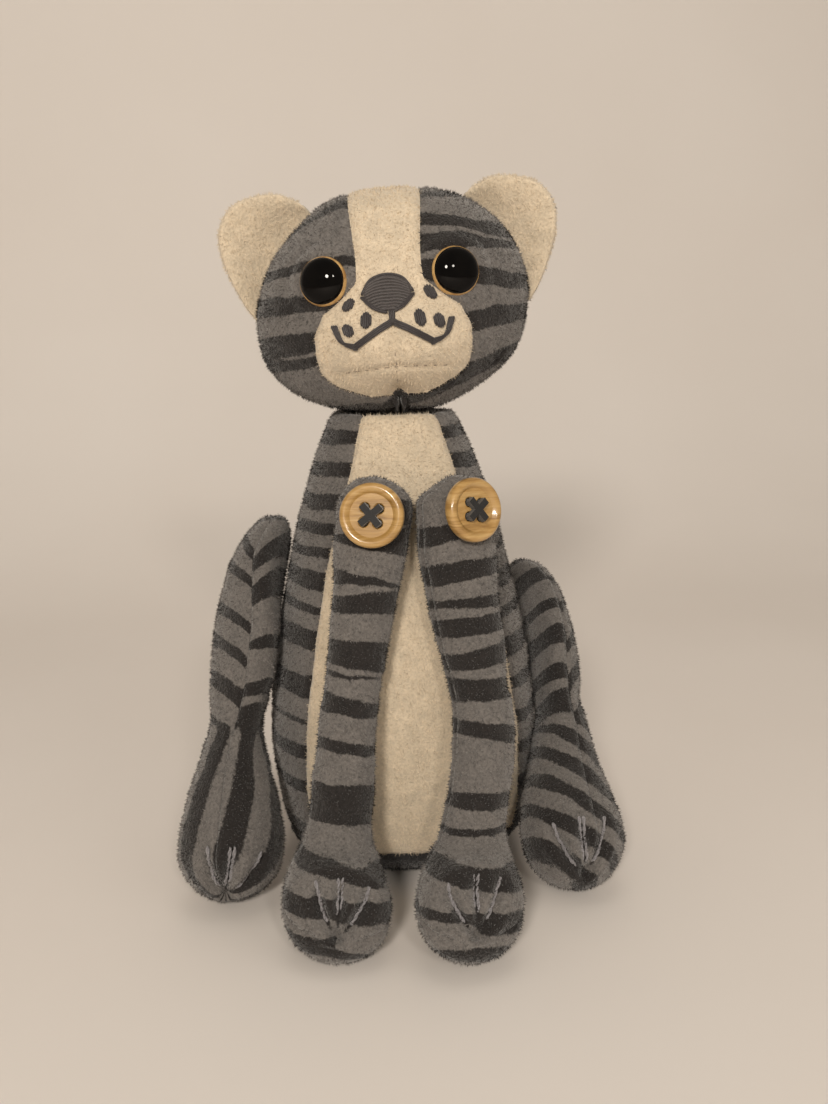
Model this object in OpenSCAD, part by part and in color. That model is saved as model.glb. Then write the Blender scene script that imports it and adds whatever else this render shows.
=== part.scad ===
// Jointed plush cat, sitting. The cat faces -Y and stands on z = 0; millimetres.

/* [Torso] */
// Height of the neck's top above the floor
body_h = 119.8; // [110:0.1:130]
// Width of the torso at its widest
body_w = 73.6; // [68:0.1:80]
// Depth of the torso at its deepest, front to back
body_d = 62; // [58:0.1:68]
// Lean of the torso towards its right, per unit of height
body_lean = 0.013; // [0:0.001:0.02]
// Radius of the pellet bag
pellet_bag_r = 19; // [14:0.5:20]
// Height of the pellet bag
pellet_bag_h = 17; // [10:0.5:20]

/* [Head] */
// Width of the head
head_w = 69; // [64:0.5:74]
// Depth of the head without the muzzle
head_d = 49; // [46:0.5:54]
// Height of the head
head_h = 55.6; // [52:0.2:58]
// Height of the head's centre above the floor
head_z = 148.4; // [148.2:0.1:152]
// Turn of the head about the neck, in degrees
head_turn = -8; // [-15:1:15]
// Tip of the head towards one shoulder, in degrees
head_roll = -3.5; // [-4:0.5:4]
// How far the muzzle stands out
muzzle_out = 5; // [2:0.5:7]
// How far the cheeks stand out, low on each side
cheek_out = 1.6; // [0:0.1:3]
// Diameter of the eyes
eye_d = 12; // [9:0.5:13]
// Distance between the eyes' centres
eye_pitch = 31; // [28:0.5:34]
// Width of the embroidered nose
nose_w = 12.8; // [8:0.1:14]
// Height of the embroidered nose
nose_h = 8.4; // [6:0.1:10]

/* [Front legs] */
// Diameter of the wooden buttons
button_d = 15; // [12:0.5:15]
// Thickness of the wooden buttons
button_t = 3.2; // [2.4:0.1:4]
// Distance of each button from the torso's middle
button_x = 11.2; // [11:0.1:12]
// Height of the left button's joint above the floor
button_z_left = 98.4; // [98:0.1:100]
// Height of the right button's joint above the floor
button_z_right = 98.1; // [98:0.1:100]
// Turn of the left button away from the torso's middle, in degrees
button_turn_left = 17; // [0:1:20]
// Turn of the right button away from the torso's middle, in degrees
button_turn_right = 26; // [0:1:28]
// Forward slant of the left front leg, in degrees
front_slant_left = 9.5; // [9:0.5:14]
// Forward slant of the right front leg, in degrees
front_slant_right = 14; // [9:0.5:15]
// Outward swing of the left front leg at rest, in degrees
front_swing_left = 8; // [4:0.1:9]
// Outward swing of the right front leg at rest, in degrees
front_swing_right = -3; // [-4:0.1:4]

/* [Hind legs] */
// Height of the left hip joint
hip_z_left = 67.6; // [66:0.1:70]
// Height of the right hip joint
hip_z_right = 53.9; // [52:0.1:56]
// Distance of the left hip joint from the torso's middle, to the middle of the thigh
hip_x_left = 41.9; // [41.6:0.1:43]
// Distance of the right hip joint from the torso's middle, to the middle of the thigh
hip_x_right = 43; // [42.8:0.1:45]
// Distance of the right hip joint behind the torso's middle
hip_y_right = 10.5; // [8:0.5:12]
// Thickness of the left thigh
thigh_left = 15.6; // [14:0.1:16]
// Thickness of the right thigh
thigh_right = 13; // [12:0.1:14]
// Forward turn of the left hind leg at rest, in degrees
hind_turn_left = 23; // [15:1:30]
// Forward turn of the right hind leg at rest, in degrees
hind_turn_right = 45; // [40:1:50]
// Lean of the left hip joint with the torso's side, in degrees
hip_slope_left = 10.5; // [9:0.5:12]
// Lean of the right hip joint with the torso's side, in degrees
hip_slope_right = 1; // [0:0.5:2]

/* [Tail] */
// Length of the tail along its curve
tail_l = 62; // [40:1:64]
// Radius of the tail at its root
tail_r = 6; // [5:0.1:7]

/* [Sewing] */
// Thickness of the fleece
fabric_t = 1.2; // [0.8:0.1:1.5]
// Clearance between pieces that move against each other
play = 0.4; // [0.3:0.05:0.5]
// Thickness of a satin stitch above the cloth
stitch_t = 0.6; // [0.4:0.1:0.8]

/* [Hidden] */

grey = [0.47, 0.46, 0.44];
dark = [0.24, 0.22, 0.21];
cream = [0.88, 0.81, 0.68];
fill = [0.93, 0.92, 0.90];
mauve = [0.30, 0.26, 0.28];
silver_thread = [0.62, 0.60, 0.62];
blond_wood = [0.78, 0.62, 0.38];
plastic = [0.85, 0.85, 0.83];
black_thread = [0.06, 0.06, 0.06];

$fn = 48;
// Columns of cloth round a limb, half of them on each panel
limb_cols = 16;
// The stuffing stays this far inside the cloth
fill_gap = 0.4;

// ---- Sheets and solids from grids of points ----

function flat(list) = [for (part = list) each part];

function quad(a, b, c, d) = [[a, b, c], [a, c, d]];

// Closed sheet between two grids of the same size. Seen from outside, the columns of the
// outer grid run to the right and its rows run up.
module sheet(outer, inner) {
  rows = len(outer);
  cols = len(outer[0]);
  half = rows * cols;
  function at(r, c) = r * cols + c;
  skins = flat([for (r = [0:rows - 2]) for (c = [0:cols - 2]) concat(
    quad(at(r, c), at(r + 1, c), at(r + 1, c + 1), at(r, c + 1)),
    quad(half + at(r, c), half + at(r, c + 1), half + at(r + 1, c + 1), half + at(r + 1, c)))]);
  ends = flat([for (c = [0:cols - 2]) concat(
    quad(at(0, c), at(0, c + 1), half + at(0, c + 1), half + at(0, c)),
    quad(at(rows - 1, c), half + at(rows - 1, c), half + at(rows - 1, c + 1),
         at(rows - 1, c + 1)))]);
  sides = flat([for (r = [0:rows - 2]) concat(
    quad(at(r, 0), half + at(r, 0), half + at(r + 1, 0), at(r + 1, 0)),
    quad(at(r, cols - 1), at(r + 1, cols - 1), half + at(r + 1, cols - 1),
         half + at(r, cols - 1)))]);
  polyhedron(concat(flat(outer), flat(inner)), concat(skins, ends, sides));
}

// Closed solid through rings of points, capped at both ends. Each ring runs anticlockwise
// seen from the last one.
module skin(rings) {
  rows = len(rings);
  cols = len(rings[0]);
  function at(r, c) = r * cols + c % cols;
  wall = flat([for (r = [0:rows - 2]) for (c = [0:cols - 1])
    quad(at(r, c), at(r + 1, c), at(r + 1, c + 1), at(r, c + 1))]);
  first = [[for (c = [0:cols - 1]) at(0, c)]];
  last = [[for (c = [cols - 1:-1:0]) at(rows - 1, c)]];
  polyhedron(flat(rings), concat(wall, first, last));
}

// Closed shell between an outer and an inner skin through rings of points. Its first end is a
// hem. Its last end is a hem too, or closes to two poles at the distances given along X.
module hoop(outer, inner, poles = []) {
  rows = len(outer);
  cols = len(outer[0]);
  half = rows * cols;
  function at(r, c) = r * cols + c % cols;
  walls = flat([for (r = [0:rows - 2]) for (c = [0:cols - 1]) concat(
    quad(at(r, c), at(r + 1, c), at(r + 1, c + 1), at(r, c + 1)),
    quad(half + at(r, c), half + at(r, c + 1), half + at(r + 1, c + 1), half + at(r + 1, c)))]);
  hem = flat([for (c = [0:cols - 1])
    quad(at(0, c), at(0, c + 1), half + at(0, c + 1), half + at(0, c))]);
  end = rows - 1;
  last = flat([for (c = [0:cols - 1]) len(poles) == 0
    ? quad(at(end, c), half + at(end, c), half + at(end, c + 1), at(end, c + 1))
    : [[at(end, c), 2 * half, at(end, c + 1)],
       [half + at(end, c), half + at(end, c + 1), 2 * half + 1]]]);
  polyhedron(concat(flat(outer), flat(inner), [for (x = poles) [x, 0, 0]]),
             concat(walls, hem, last));
}

// Closed solid through rings of points, with a pole at each end
module globe(rings, first, last) {
  rows = len(rings);
  cols = len(rings[0]);
  function at(r, c) = r * cols + c % cols;
  wall = flat([for (r = [0:rows - 2]) for (c = [0:cols - 1])
    quad(at(r, c), at(r + 1, c), at(r + 1, c + 1), at(r, c + 1))]);
  ends = flat([for (c = [0:cols - 1]) [
    [at(0, c + 1), rows * cols, at(0, c)],
    [at(rows - 1, c), rows * cols + 1, at(rows - 1, c + 1)]]]);
  polyhedron(concat(flat(rings), [first, last]), concat(wall, ends));
}

module on_side(side) {
  if (side < 0) mirror([1, 0, 0]) children();
  else children();
}

// ---- Torso ----

// Rows from the base seam to the neck: height, half width, front depth and back depth,
// as shares of body_h, body_w / 2 and body_d / 2
torso_shares = [
  [0.042, 0.885, 0.86, 0.90], [0.10, 0.945, 0.94, 0.96], [0.20, 0.985, 0.985, 1.0],
  [0.317, 1.0, 1.0, 1.0], [0.484, 0.94, 0.97, 0.935], [0.65, 0.83, 0.87, 0.825],
  [0.768, 0.733, 0.775, 0.71], [0.868, 0.636, 0.66, 0.61], [0.945, 0.54, 0.56, 0.52],
  [0.983, 0.455, 0.47, 0.44], [0.997, 0.33, 0.35, 0.33], [1.0, 0.14, 0.16, 0.14]
];
torso_rows = [for (s = torso_shares)
  [s[0] * body_h, s[1] * body_w / 2, s[2] * body_d / 2, s[3] * body_d / 2]];
base_top = torso_rows[0];
// The base panel's rows below its seam, to the flat that it sits on
base_rows = [
  [0, 0.66 * body_w / 2, 0.56 * body_d / 2, 0.68 * body_d / 2],
  [0.012 * body_h, 0.79 * body_w / 2, 0.73 * body_d / 2, 0.81 * body_d / 2],
  base_top
];
// Half angle of the belly panel against the share of the torso's height
belly_angle = [[0.04, 55], [0.45, 49], [0.70, 46], [0.80, 42], [0.90, 38], [1, 38]];

// Rows moved inwards by t, square to their profile
function inset_rows(rows, t) = [for (i = [0:len(rows) - 1])
  let(lo = rows[max(i - 1, 0)], hi = rows[min(i + 1, len(rows) - 1)],
      rise = hi[0] - lo[0], spread = hi[1] - lo[1], long = norm([rise, spread]),
      r = rows[i])
  [r[0] + t * spread / long, max(r[1] - t * rise / long, 0.4),
   max(r[2] - t * rise / long, 0.4), max(r[3] - t * rise / long, 0.4)]];

function torso_point(row, angle) =
  [row[1] * sin(angle) - body_lean * row[0],
   -(cos(angle) > 0 ? row[2] : row[3]) * cos(angle), row[0]];

function torso_grid(rows, angle_at, cols) = [for (r = rows)
  [for (c = [0:cols]) torso_point(r, angle_at(r[0] / body_h, c / cols))]];

function torso_rings(rows, cols) = [for (r = rows)
  [for (c = [0:cols - 1]) torso_point(r, 360 * c / cols)]];

module torso_panel(angle_at, cols) {
  sheet(torso_grid(torso_rows, angle_at, cols),
        torso_grid(inset_rows(torso_rows, fabric_t), angle_at, cols));
}

module belly_panel() {
  color(cream) difference() {
    torso_panel(function(h, s) (2 * s - 1) * lookup(h, belly_angle), 10);
    for (side = [-1, 1]) button_shank_space(side);
  }
}

module side_panel(side) {
  // From the belly seam to the back seam, or the other way round
  angle_at = side > 0
    ? function(h, s) lookup(h, belly_angle) + s * (180 - lookup(h, belly_angle))
    : function(h, s) -180 + s * (180 - lookup(h, belly_angle));
  color(grey) difference() {
    torso_panel(angle_at, 10);
    hip_post_space(side);
  }
}

module base_panel() {
  color(dark) difference() {
    skin(torso_rings(base_rows, 32));
    skin(torso_rings(inset_base_space(), 32));
  }
}

function inset_base_space() = [
  [fabric_t, base_rows[0][1] - fabric_t, base_rows[0][2] - fabric_t,
   base_rows[0][3] - fabric_t],
  for (r = [base_rows[1], base_top])
    [r[0] + fabric_t / 2, r[1] - fabric_t, r[2] - fabric_t, r[3] - fabric_t],
  [base_top[0] + 5, base_top[1], base_top[2], base_top[3]]
];

module body_stuffing() {
  rows = inset_rows([for (r = concat(base_rows, [for (i = [1:len(torso_rows) - 2])
    torso_rows[i]])) r], fabric_t + fill_gap);
  color(fill) difference() {
    skin(torso_rings([for (r = rows) [max(r[0], fabric_t + fill_gap), r[1], r[2], r[3]]], 32));
    pellet_bag_shape(fill_gap);
    neck_space();
    for (side = [-1, 1]) {
      button_shank_space(side);
      inner_button_space(side);
      hip_post_space(side);
      hip_washer_space(side);
    }
  }
}

// The pellet bag, grown by g
module pellet_bag_shape(g) {
  edge = 5;
  translate([0, 0, 3 - g]) rotate_extrude() {
    square([pellet_bag_r - edge, pellet_bag_h + 2 * g]);
    translate([0, edge]) square([pellet_bag_r + g, pellet_bag_h + 2 * g - 2 * edge]);
    for (z = [edge, pellet_bag_h + 2 * g - edge])
      translate([pellet_bag_r + g - edge, z]) circle(edge);
  }
}

module pellet_bag() {
  color("beige") pellet_bag_shape(0);
}

// ---- Head, in its own frame: centre at the origin, facing -Y ----

head_centre = [-1.5, -2.8, head_z];
head_power = 2.25;

module in_head() {
  translate(head_centre) rotate([0, head_roll, head_turn]) children();
}

// Direction at angle a over the head, from 0 at the face to 90 on top, and b to the side
function head_way(a, b) = [sin(b), -cos(b) * cos(a), cos(b) * sin(a)];

function turned(a) = a > 180 ? a - 360 : a;

function muzzle_bump(a, b) =
  muzzle_out * exp(-pow((turned(a) + 22) / 22, 2) - pow(b / 30, 2));

function cheek_bump(d) = cheek_out * pow(d[0], 2) * exp(-pow((d[2] + 0.55) / 0.4, 2)) * 1.6;

function head_radius(a, b) = let(d = head_way(a, b))
  pow(pow(abs(d[0]) / (head_w / 2), head_power) + pow(abs(d[1]) / (head_d / 2), head_power)
    + pow(abs(d[2]) / (head_h / 2), head_power), -1 / head_power)
    + muzzle_bump(a, b) + cheek_bump(d);

function head_point(a, b, inset) = (head_radius(a, b) - inset) * head_way(a, b);

// Half width of the cream strip, in degrees to the side, against the angle over the head
gusset_angle = [
  [-90, 5], [-60, 5], [-54, 14], [-49, 26], [-43, 33], [-32, 35], [-18, 36], [-6, 32],
  [2, 24], [10, 17], [20, 16], [60, 18], [90, 18], [180, 14], [270, 5]
];
function gusset_at(a) = lookup(a > 270 ? a - 360 : a, gusset_angle);
head_cols = 32;
head_angles = [for (c = [0:head_cols - 1]) 270 - 360 * c / head_cols];

// Ring of the head s of the way across the gusset, from -1 at its left edge to 1 at its
// right edge, and on to the pole at 2 or -2
function head_ring(s, inset) = [for (a = head_angles)
  let(g = gusset_at(a), side = s < 0 ? -1 : 1, past = max(abs(s) - 1, 0))
  head_point(a, g * (s - side * past) + side * past * (90 - g), inset)];
gusset_steps = [for (i = [-3:3]) i / 3];
side_steps = [1, 1.2, 1.4, 1.6, 1.8, 1.95];

// Hole for the neck post through the bottom of the head
module neck_hole() {
  translate([neck_axis[0], neck_axis[1], body_h - 1]) cylinder(r = neck_post_r - 0.2, h = 8);
}

module face_gusset() {
  function rings(inset) = [for (s = gusset_steps) head_ring(s, inset)];
  color(cream) difference() {
    in_head() hoop(rings(0), rings(fabric_t));
    neck_hole();
  }
}

module head_side(side) {
  function rings(inset) = [for (s = side_steps) head_ring(s, inset)];
  color(grey) difference() {
    in_head() on_side(side) difference() {
      hoop(rings(0), rings(fabric_t), [head_w / 2, head_w / 2 - fabric_t]);
      eye_frame() cylinder(r = eye_stem_r, h = 8, center = true);
    }
    neck_hole();
  }
}

module head_stuffing() {
  inset = fabric_t + fill_gap;
  pole = [head_w / 2 - inset, 0, 0];
  outwards = [for (i = [1:len(side_steps) - 1]) side_steps[i]];
  inwards = [for (i = [len(outwards) - 1:-1:0]) -outwards[i]];
  color(fill) in_head() difference() {
    globe([for (s = concat(inwards, gusset_steps, outwards)) head_ring(s, inset)], -pole, pole);
    for (side = [-1, 1]) on_side(side) eye_frame()
      cylinder(r = eye_washer_r + fill_gap, h = 2 * (eye_stem_l + fill_gap), center = true);
    neck_disc_shape(fill_gap);
  }
}

// ---- Ears, in the head's frame ----

// The ear's base line on the head
ear_base_top = [20.4, 24.4];
ear_base_bottom = [34.8, 0.4];
// Its rim, across and up, from the top of the base line to the bottom
ear_rim = [
  [21.6, 26.2], [26.6, 28.4], [33.2, 28.4], [39.2, 26.2], [42.7, 20.8], [42.6, 14.2],
  [40.4, 7.6], [37.6, 1.6], [34.9, -2.4]
];
ear_y = 1.5;
// How far the ear's middle is hollowed
ear_cup = 3;

// Point of the ear, u from its top to its bottom and v from its base to its rim
function ear_point(u, v, y) =
  let(root = ear_base_top * (1 - u) + ear_base_bottom * u,
      p = root * (1 - v) + ear_rim[u * (len(ear_rim) - 1)] * v)
  [p[0], ear_y + y + ear_cup * sin(180 * u) * (1 - v * v), p[1]];

module ear_layer(near, far) {
  function grid(y) = [for (v = [0:4]) [for (u = [0:8])
    ear_point(u / 8, v / 4, y * (1 - 0.75 * pow(v / 4, 3)))]];
  sheet(grid(near), grid(far));
}

module ear_front(side) {
  color(cream) in_head() on_side(side) ear_layer(-1.6, 0);
}

module ear_back(side) {
  color(grey) in_head() on_side(side) ear_layer(0, fabric_t);
}

// ---- Eyes ----

eye_stem_r = 1.6;
eye_stem_l = 9;
eye_washer_r = 5;
eye_washer_t = 1.2;
// Angle of the eye over the head and to the side
eye_over = 12.5;
eye_aside = asin(eye_pitch / 2 / head_radius(eye_over, 35));
// Way that the eye faces: to the side and up
eye_out = 20;
eye_up = 8;

// Frame on the head's right side whose +Z looks out of the eye
module eye_frame() {
  translate(head_point(eye_over, eye_aside, 0)) rotate([90 - eye_up, 0, eye_out]) children();
}

module eye(side) {
  color([0.10, 0.06, 0.03]) in_head() on_side(side) eye_frame() {
    rotate_extrude() intersection() {
      translate([0, -eye_d * 0.27]) circle(eye_d * 0.57);
      translate([0, 0.2]) square([eye_d / 2, eye_d]);
    }
    translate([0, 0, -eye_stem_l]) cylinder(r = eye_stem_r, h = eye_stem_l + 1);
  }
}

module eye_washers() {
  color(plastic) in_head() for (side = [-1, 1]) on_side(side) eye_frame()
    translate([0, 0, -eye_stem_l + 2]) difference() {
      cylinder(r = eye_washer_r, h = eye_washer_t);
      translate([0, 0, -1]) cylinder(r = eye_stem_r, h = eye_washer_t + 2);
    }
}

// ---- Embroidery, raised on the face and sunk a little into it ----

sink = 0.3;

// Point of the face at x across and z up, standing out of the cloth
function on_face(x, z, out) =
  let(first = face_angles(x, z, head_d / 2 + 4),
      second = face_angles(x, z, head_radius(first[0], first[1])),
      g = face_angles(x, z, head_radius(second[0], second[1])))
  head_point(g[0], g[1], -out);
// Angle over the head, and to the side, where the head's radius is r
function face_angles(x, z, r) = let(b = asin(x / r)) [asin(z / (r * cos(b))), b];

// A satin-stitched pad between two curves given as functions of s from 0 to 1
module satin(low, high, steps) {
  function grid(out) = [for (v = [0:4]) [for (s = [0:steps])
    let(a = low(s / steps), b = high(s / steps), p = a + (b - a) * v / 4,
        edge = sin(180 * v / 4))
    on_face(p[0], p[1], out > 0 ? out * (0.35 + 0.65 * edge) : out)]];
  sheet(grid(stitch_t), grid(-sink));
}

nose_z = 1.1;

module nose_embroidery() {
  color(mauve) in_head() satin(
    function(s) [nose_w * (s - 0.5), nose_z - (nose_h * 0.5) * sin(180 * s)],
    function(s) [nose_w * (s - 0.5) * 0.98, nose_z + nose_h * 0.5 * sin(180 * s) + 0.05], 10);
}

mouth_half = 8.8;
mouth_z = -5.6;
mouth_line = 1.7;

// Line of stitches from p to q
module stitch_line(p, q, wide) {
  across = [-(q - p)[1], (q - p)[0]] / norm(q - p) * wide / 2;
  satin(function(s) p + (q - p) * s - across, function(s) p + (q - p) * s + across, 4);
}

module mouth_embroidery() {
  corner = [mouth_half, mouth_z - 4.2];
  color(mauve) in_head() union() {
    stitch_line([0, mouth_z + 2], [0, mouth_z - 0.6], mouth_line);
    for (side = [-1, 1]) {
      stitch_line([0, mouth_z], [side * corner[0], corner[1]], mouth_line);
      stitch_line([side * corner[0], corner[1]], [side * (corner[0] + 4.4), corner[1] + 4.2],
                  mouth_line);
    }
  }
}

// Whisker spots: place across and up
spots = [[-9.8, -0.8], [-5.9, -4.4], [-9.6, -4.9], [9.2, 0.7], [6.3, -4.6], [10, -4.9]];

module whisker_spots() {
  spot_r = 1.5;
  color(mauve) in_head() for (p = spots) satin(
    function(s) [p[0] - spot_r * 0.8 * cos(180 * s), p[1] - spot_r * sin(180 * s)],
    function(s) [p[0] - spot_r * 0.8 * cos(180 * s), p[1] + spot_r * sin(180 * s) + 0.05],
    6);
}

// ---- Neck joint ----

neck_post_r = 3;
neck_disc_r = 11;
neck_disc_t = 2;
neck_disc_z = -head_h / 2 + 4;
neck_drop = 8;

// The disc in the head, grown by g, in the head's frame
module neck_disc_shape(g) {
  translate([0, 0, neck_disc_z - g]) cylinder(r = neck_disc_r + g, h = neck_disc_t + 2 * g);
  translate([0, 0, -head_h / 2 - 1]) cylinder(r = neck_post_r + g, h = 6);
}

// The post's place in the torso: upright, on the joint's axis
neck_axis = [0, 0];

module neck_joint_disc() {
  top = head_z - head_h / 2 + 2;
  color(plastic) {
    in_head() translate([0, 0, neck_disc_z]) cylinder(r = neck_disc_r, h = neck_disc_t);
    translate([neck_axis[0], neck_axis[1], body_h - neck_drop])
      cylinder(r = neck_post_r - 0.6, h = top - body_h + neck_drop + 3);
  }
}

module neck_joint_washer() {
  color(plastic) translate([neck_axis[0], neck_axis[1], body_h - neck_drop + 1])
    difference() {
      cylinder(r = 8, h = 1.6);
      translate([0, 0, -1]) cylinder(r = neck_post_r - 0.6, h = 4);
    }
}

module neck_space() {
  translate([neck_axis[0], neck_axis[1], body_h - neck_drop - play])
    cylinder(r = 8 + play, h = 1.6 + 1 + 2 * play);
  translate([neck_axis[0], neck_axis[1], body_h - neck_drop])
    cylinder(r = neck_post_r, h = neck_drop + 1);
}

// ---- Limbs: rows of [x, y, z, pitch, half width across, half width square to that, turn] ----

// Pitch 0 is a level ring on a limb that hangs down; 90 is a ring on a limb that points
// forwards. Angle 0 round a ring is the front, or the top of a foot.
function limb_point(row, angle, out) =
  let(x = (row[4] + out) * sin(angle), y = -(row[5] + out) * cos(angle) * cos(row[3]))
  [row[0] + x * cos(row[6]) - y * sin(row[6]), row[1] + x * sin(row[6]) + y * cos(row[6]),
   row[2] + (row[5] + out) * cos(angle) * sin(row[3])];

function limb_way(row) = [0, -sin(row[3]), -cos(row[3])];

// Rows moved inwards by t, square to the limb's profile
function inset_limb(rows, t) = [for (i = [0:len(rows) - 1])
  let(r = rows[i], lo = rows[max(i - 1, 0)], hi = rows[min(i + 1, len(rows) - 1)],
      run = norm([hi[1] - lo[1], hi[2] - lo[2]]), grow = (hi[4] + hi[5] - lo[4] - lo[5]) / 2,
      long = norm([run, grow]), shift = limb_way(r) * t * grow / long, thin = t * run / long)
  [r[0], r[1] + shift[1], r[2] + shift[2], r[3], max(r[4] - thin, 0.3), max(r[5] - thin, 0.3),
   r[6]]];

function limb_grid(rows, from, to, cols, out) = [for (r = rows)
  [for (c = [0:cols]) limb_point(r, to + (from - to) * c / cols, out)]];

module limb_panel(rows, from, to) {
  cols = limb_cols / 2;
  sheet(limb_grid(rows, from, to, cols, 0),
        limb_grid(inset_limb(rows, fabric_t), from, to, cols, 0));
}

module limb_fill(rows) {
  inner = inset_limb(rows, fabric_t + fill_gap);
  skin([for (i = [1:len(inner) - 2]) [for (c = [0:limb_cols - 1])
    limb_point(inner[i], -360 * c / limb_cols, 0)]]);
}

// Bands of thread over the toes, along the last rows of a limb
module toe_bands(rows, count) {
  last = len(rows) - 2;
  toe_rows = [for (i = [last - count:last]) rows[i]];
  for (angle = [-48, 0, 48])
    sheet(limb_grid(toe_rows, angle - 4, angle + 4, 1, stitch_t),
          limb_grid(toe_rows, angle - 4, angle + 4, 1, -sink));
}

// ---- Front legs: origin on the button joint, at the middle of the leg's thickness ----

leg_thick = 6.6;
front_joint_y = -29.4;

function button_z(side) = side < 0 ? button_z_left : button_z_right;
function front_slant(side) = side < 0 ? front_slant_left : front_slant_right;
function front_swing(side) = side < 0 ? front_swing_left : front_swing_right;
function button_turn(side) = side < 0 ? button_turn_left : button_turn_right;
// How far each leg is bowed outwards at its middle
function front_bow(side) = side < 0 ? 0.3 : 4.4;
// Each row's share of the button's turn is its last number
function turned_rows(side) = [for (r = front_rows(front_bow(side)))
  [for (i = [0:6]) i == 6 ? r[6] * button_turn(side) : r[i]]];

function front_rows(bow) = [
  [-0.6, -0.8, 9.8, 0, 0.6, 0.6, 1], [-0.6, -0.8, 8.6, 0, 5, 3, 1],
  [-0.4, -0.4, 5, 0, 7.9, 5.2, 1], [-0.2, 0, -4, 0, 8.4, leg_thick, 1],
  [0.3 * bow, 0, -18, 0, 7.3, 6.8, 0.8], [0.8 * bow, 0, -36, 0, 7.1, 6.8, 0.6],
  [bow, 0, -54, 0, 7.3, 6.9, 0.4], [0.8 * bow, -0.4, -67, 0, 7.7, 6.9, 0.3],
  [0.45 * bow, -0.9, -76.5, 5, 8.3, 7.2, 0.3], [0.1 * bow, -2.9, -83.3, 28, 10.9, 9.2, 0.3],
  [0, -6.4, -88.8, 55, 12.4, 11.2, 0.3], [0, -10.8, -91.4, 70, 12.5, 11.2, 0.3],
  [0, -15, -92.6, 80, 10.8, 9, 0.3], [0, -17.4, -93.1, 80, 6.2, 5, 0.3],
  [0, -18.2, -93.3, 80, 0.6, 0.6, 0.3]
];
// Frame of one front leg; swing false leaves the leg's own turn out
module front_frame(side) {
  on_side(side) translate([button_x, front_joint_y, button_z(side)])
    rotate([-front_slant(side), 0, 0]) rotate([0, -front_swing(side), 0]) children();
}

module front_leg_front(side) {
  color(grey) front_frame(side) limb_panel(turned_rows(side), -90, 90);
}

module front_leg_back(side) {
  color(grey) front_frame(side) limb_panel(turned_rows(side), 90, 270);
}

module front_leg_stuffing(side) {
  color(fill) front_frame(side) limb_fill(turned_rows(side));
}

module front_toe_stitches(side) {
  color(silver_thread) front_frame(side) toe_bands(turned_rows(side), 3);
}

// ---- Buttons and their thread ----

hole_r = 1.1;
hole_pitch = 3.3;
strand_r = 0.8;
shank_r = 1.6;
inner_button_r = 4.2;
inner_button_t = 2;
// How far the shank reaches behind the leg's middle
shank_l = 17;

// Frame whose +Z looks out of the button, on the leg's front
module button_frame(side) {
  front = leg_thick + 0.3;
  turn = button_turn(side);
  front_frame(side) rotate([0, 0, turn]) translate([-front * tan(turn), -front, 0])
    rotate([90, 0, 0]) children();
}

module hole_places() {
  for (x = [-1, 1]) for (y = [-1, 1]) translate([x, y, 0] * hole_pitch / 2) children();
}

module leg_button(side) {
  rim = 2.2;
  color(blond_wood) button_frame(side) difference() {
    rotate_extrude() difference() {
      union() {
        translate([0, 0.5]) square([button_d / 2, button_t - 1.1]);
        square([button_d / 2 - 0.6, button_t]);
      }
      translate([0, button_t - 0.9]) square([button_d / 2 - rim, 2]);
    }
    hole_places() translate([0, 0, -1]) cylinder(r = hole_r, h = button_t + 2, $fn = 24);
  }
}

module button_thread(side) {
  floor_z = button_t - 0.9;
  color(black_thread) {
    button_frame(side) {
      for (turn = [45, 135]) rotate(turn) translate([0, 0, floor_z + strand_r])
        cube([hole_pitch * sqrt(2) + 2 * strand_r, 2 * strand_r, 2 * strand_r - 0.1],
             center = true);
      hole_places() translate([0, 0, -1.5])
        cylinder(r = strand_r, h = floor_z + 2.5, $fn = 24);
      translate([0, 0, -1.5]) cylinder(r = hole_pitch / 2 * sqrt(2) + strand_r, h = 1, $fn = 24);
    }
    front_frame(side) rotate([-90, 0, 0]) translate([0, 0, -leg_thick + 0.6])
      cylinder(r = shank_r, h = leg_thick + shank_l - 0.6, $fn = 24);
  }
}

module inner_button(side) {
  color(plastic) front_frame(side) rotate([-90, 0, 0])
    translate([0, 0, shank_l - 3]) difference() {
      cylinder(r = inner_button_r, h = inner_button_t);
      translate([0, 0, -1]) cylinder(r = shank_r, h = inner_button_t + 2, $fn = 24);
    }
}

module button_shank_space(side) {
  front_frame(side) rotate([-90, 0, 0]) cylinder(r = shank_r + play, h = shank_l + play);
}

module inner_button_space(side) {
  front_frame(side) rotate([-90, 0, 0]) translate([0, 0, shank_l - 3 - play])
    cylinder(r = inner_button_r + play, h = inner_button_t + 2 * play);
}

// ---- Hind legs: origin on the hip joint, at the middle of the thigh's thickness ----

function hind_rows(thick, top) = [
  [-4.2, 0, top, 0, 0.6, 0.6, 0], [-4, 0, 0.94 * top, 0, 3.4, 6, 0],
  [-3.2, 0, 0.81 * top, 0, 5.4, 10.5, 0], [-1.2, 0, 0.52 * top, 0, 0.92 * thick, 14.5, 0],
  [0, 0, 1, 0, thick, 15.6, 0], [0, 0, -12, 0, thick, 14, 0],
  [-0.3, 0, -22, 0, 0.95 * thick, 10.5, 0], [-0.8, 0, -30, 0, 7.4, 9.6, 0],
  [-1.8, 0, -40, 0, 9.4, 10.6, 0], [-2.8, -0.5, -50, 4, 12, 12, 0],
  [-3.3, -1.5, -58, 10, 13.1, 12.2, 0], [-3.4, -3, -65, 18, 12.2, 11, 0],
  [-3.4, -4.5, -69.5, 26, 8.2, 7.6, 0], [-3.4, -5.3, -71.2, 30, 4.6, 4.2, 0],
  [-3.4, -5.6, -71.8, 30, 0.6, 0.6, 0]
];
hip_disc_r = 9;
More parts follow.
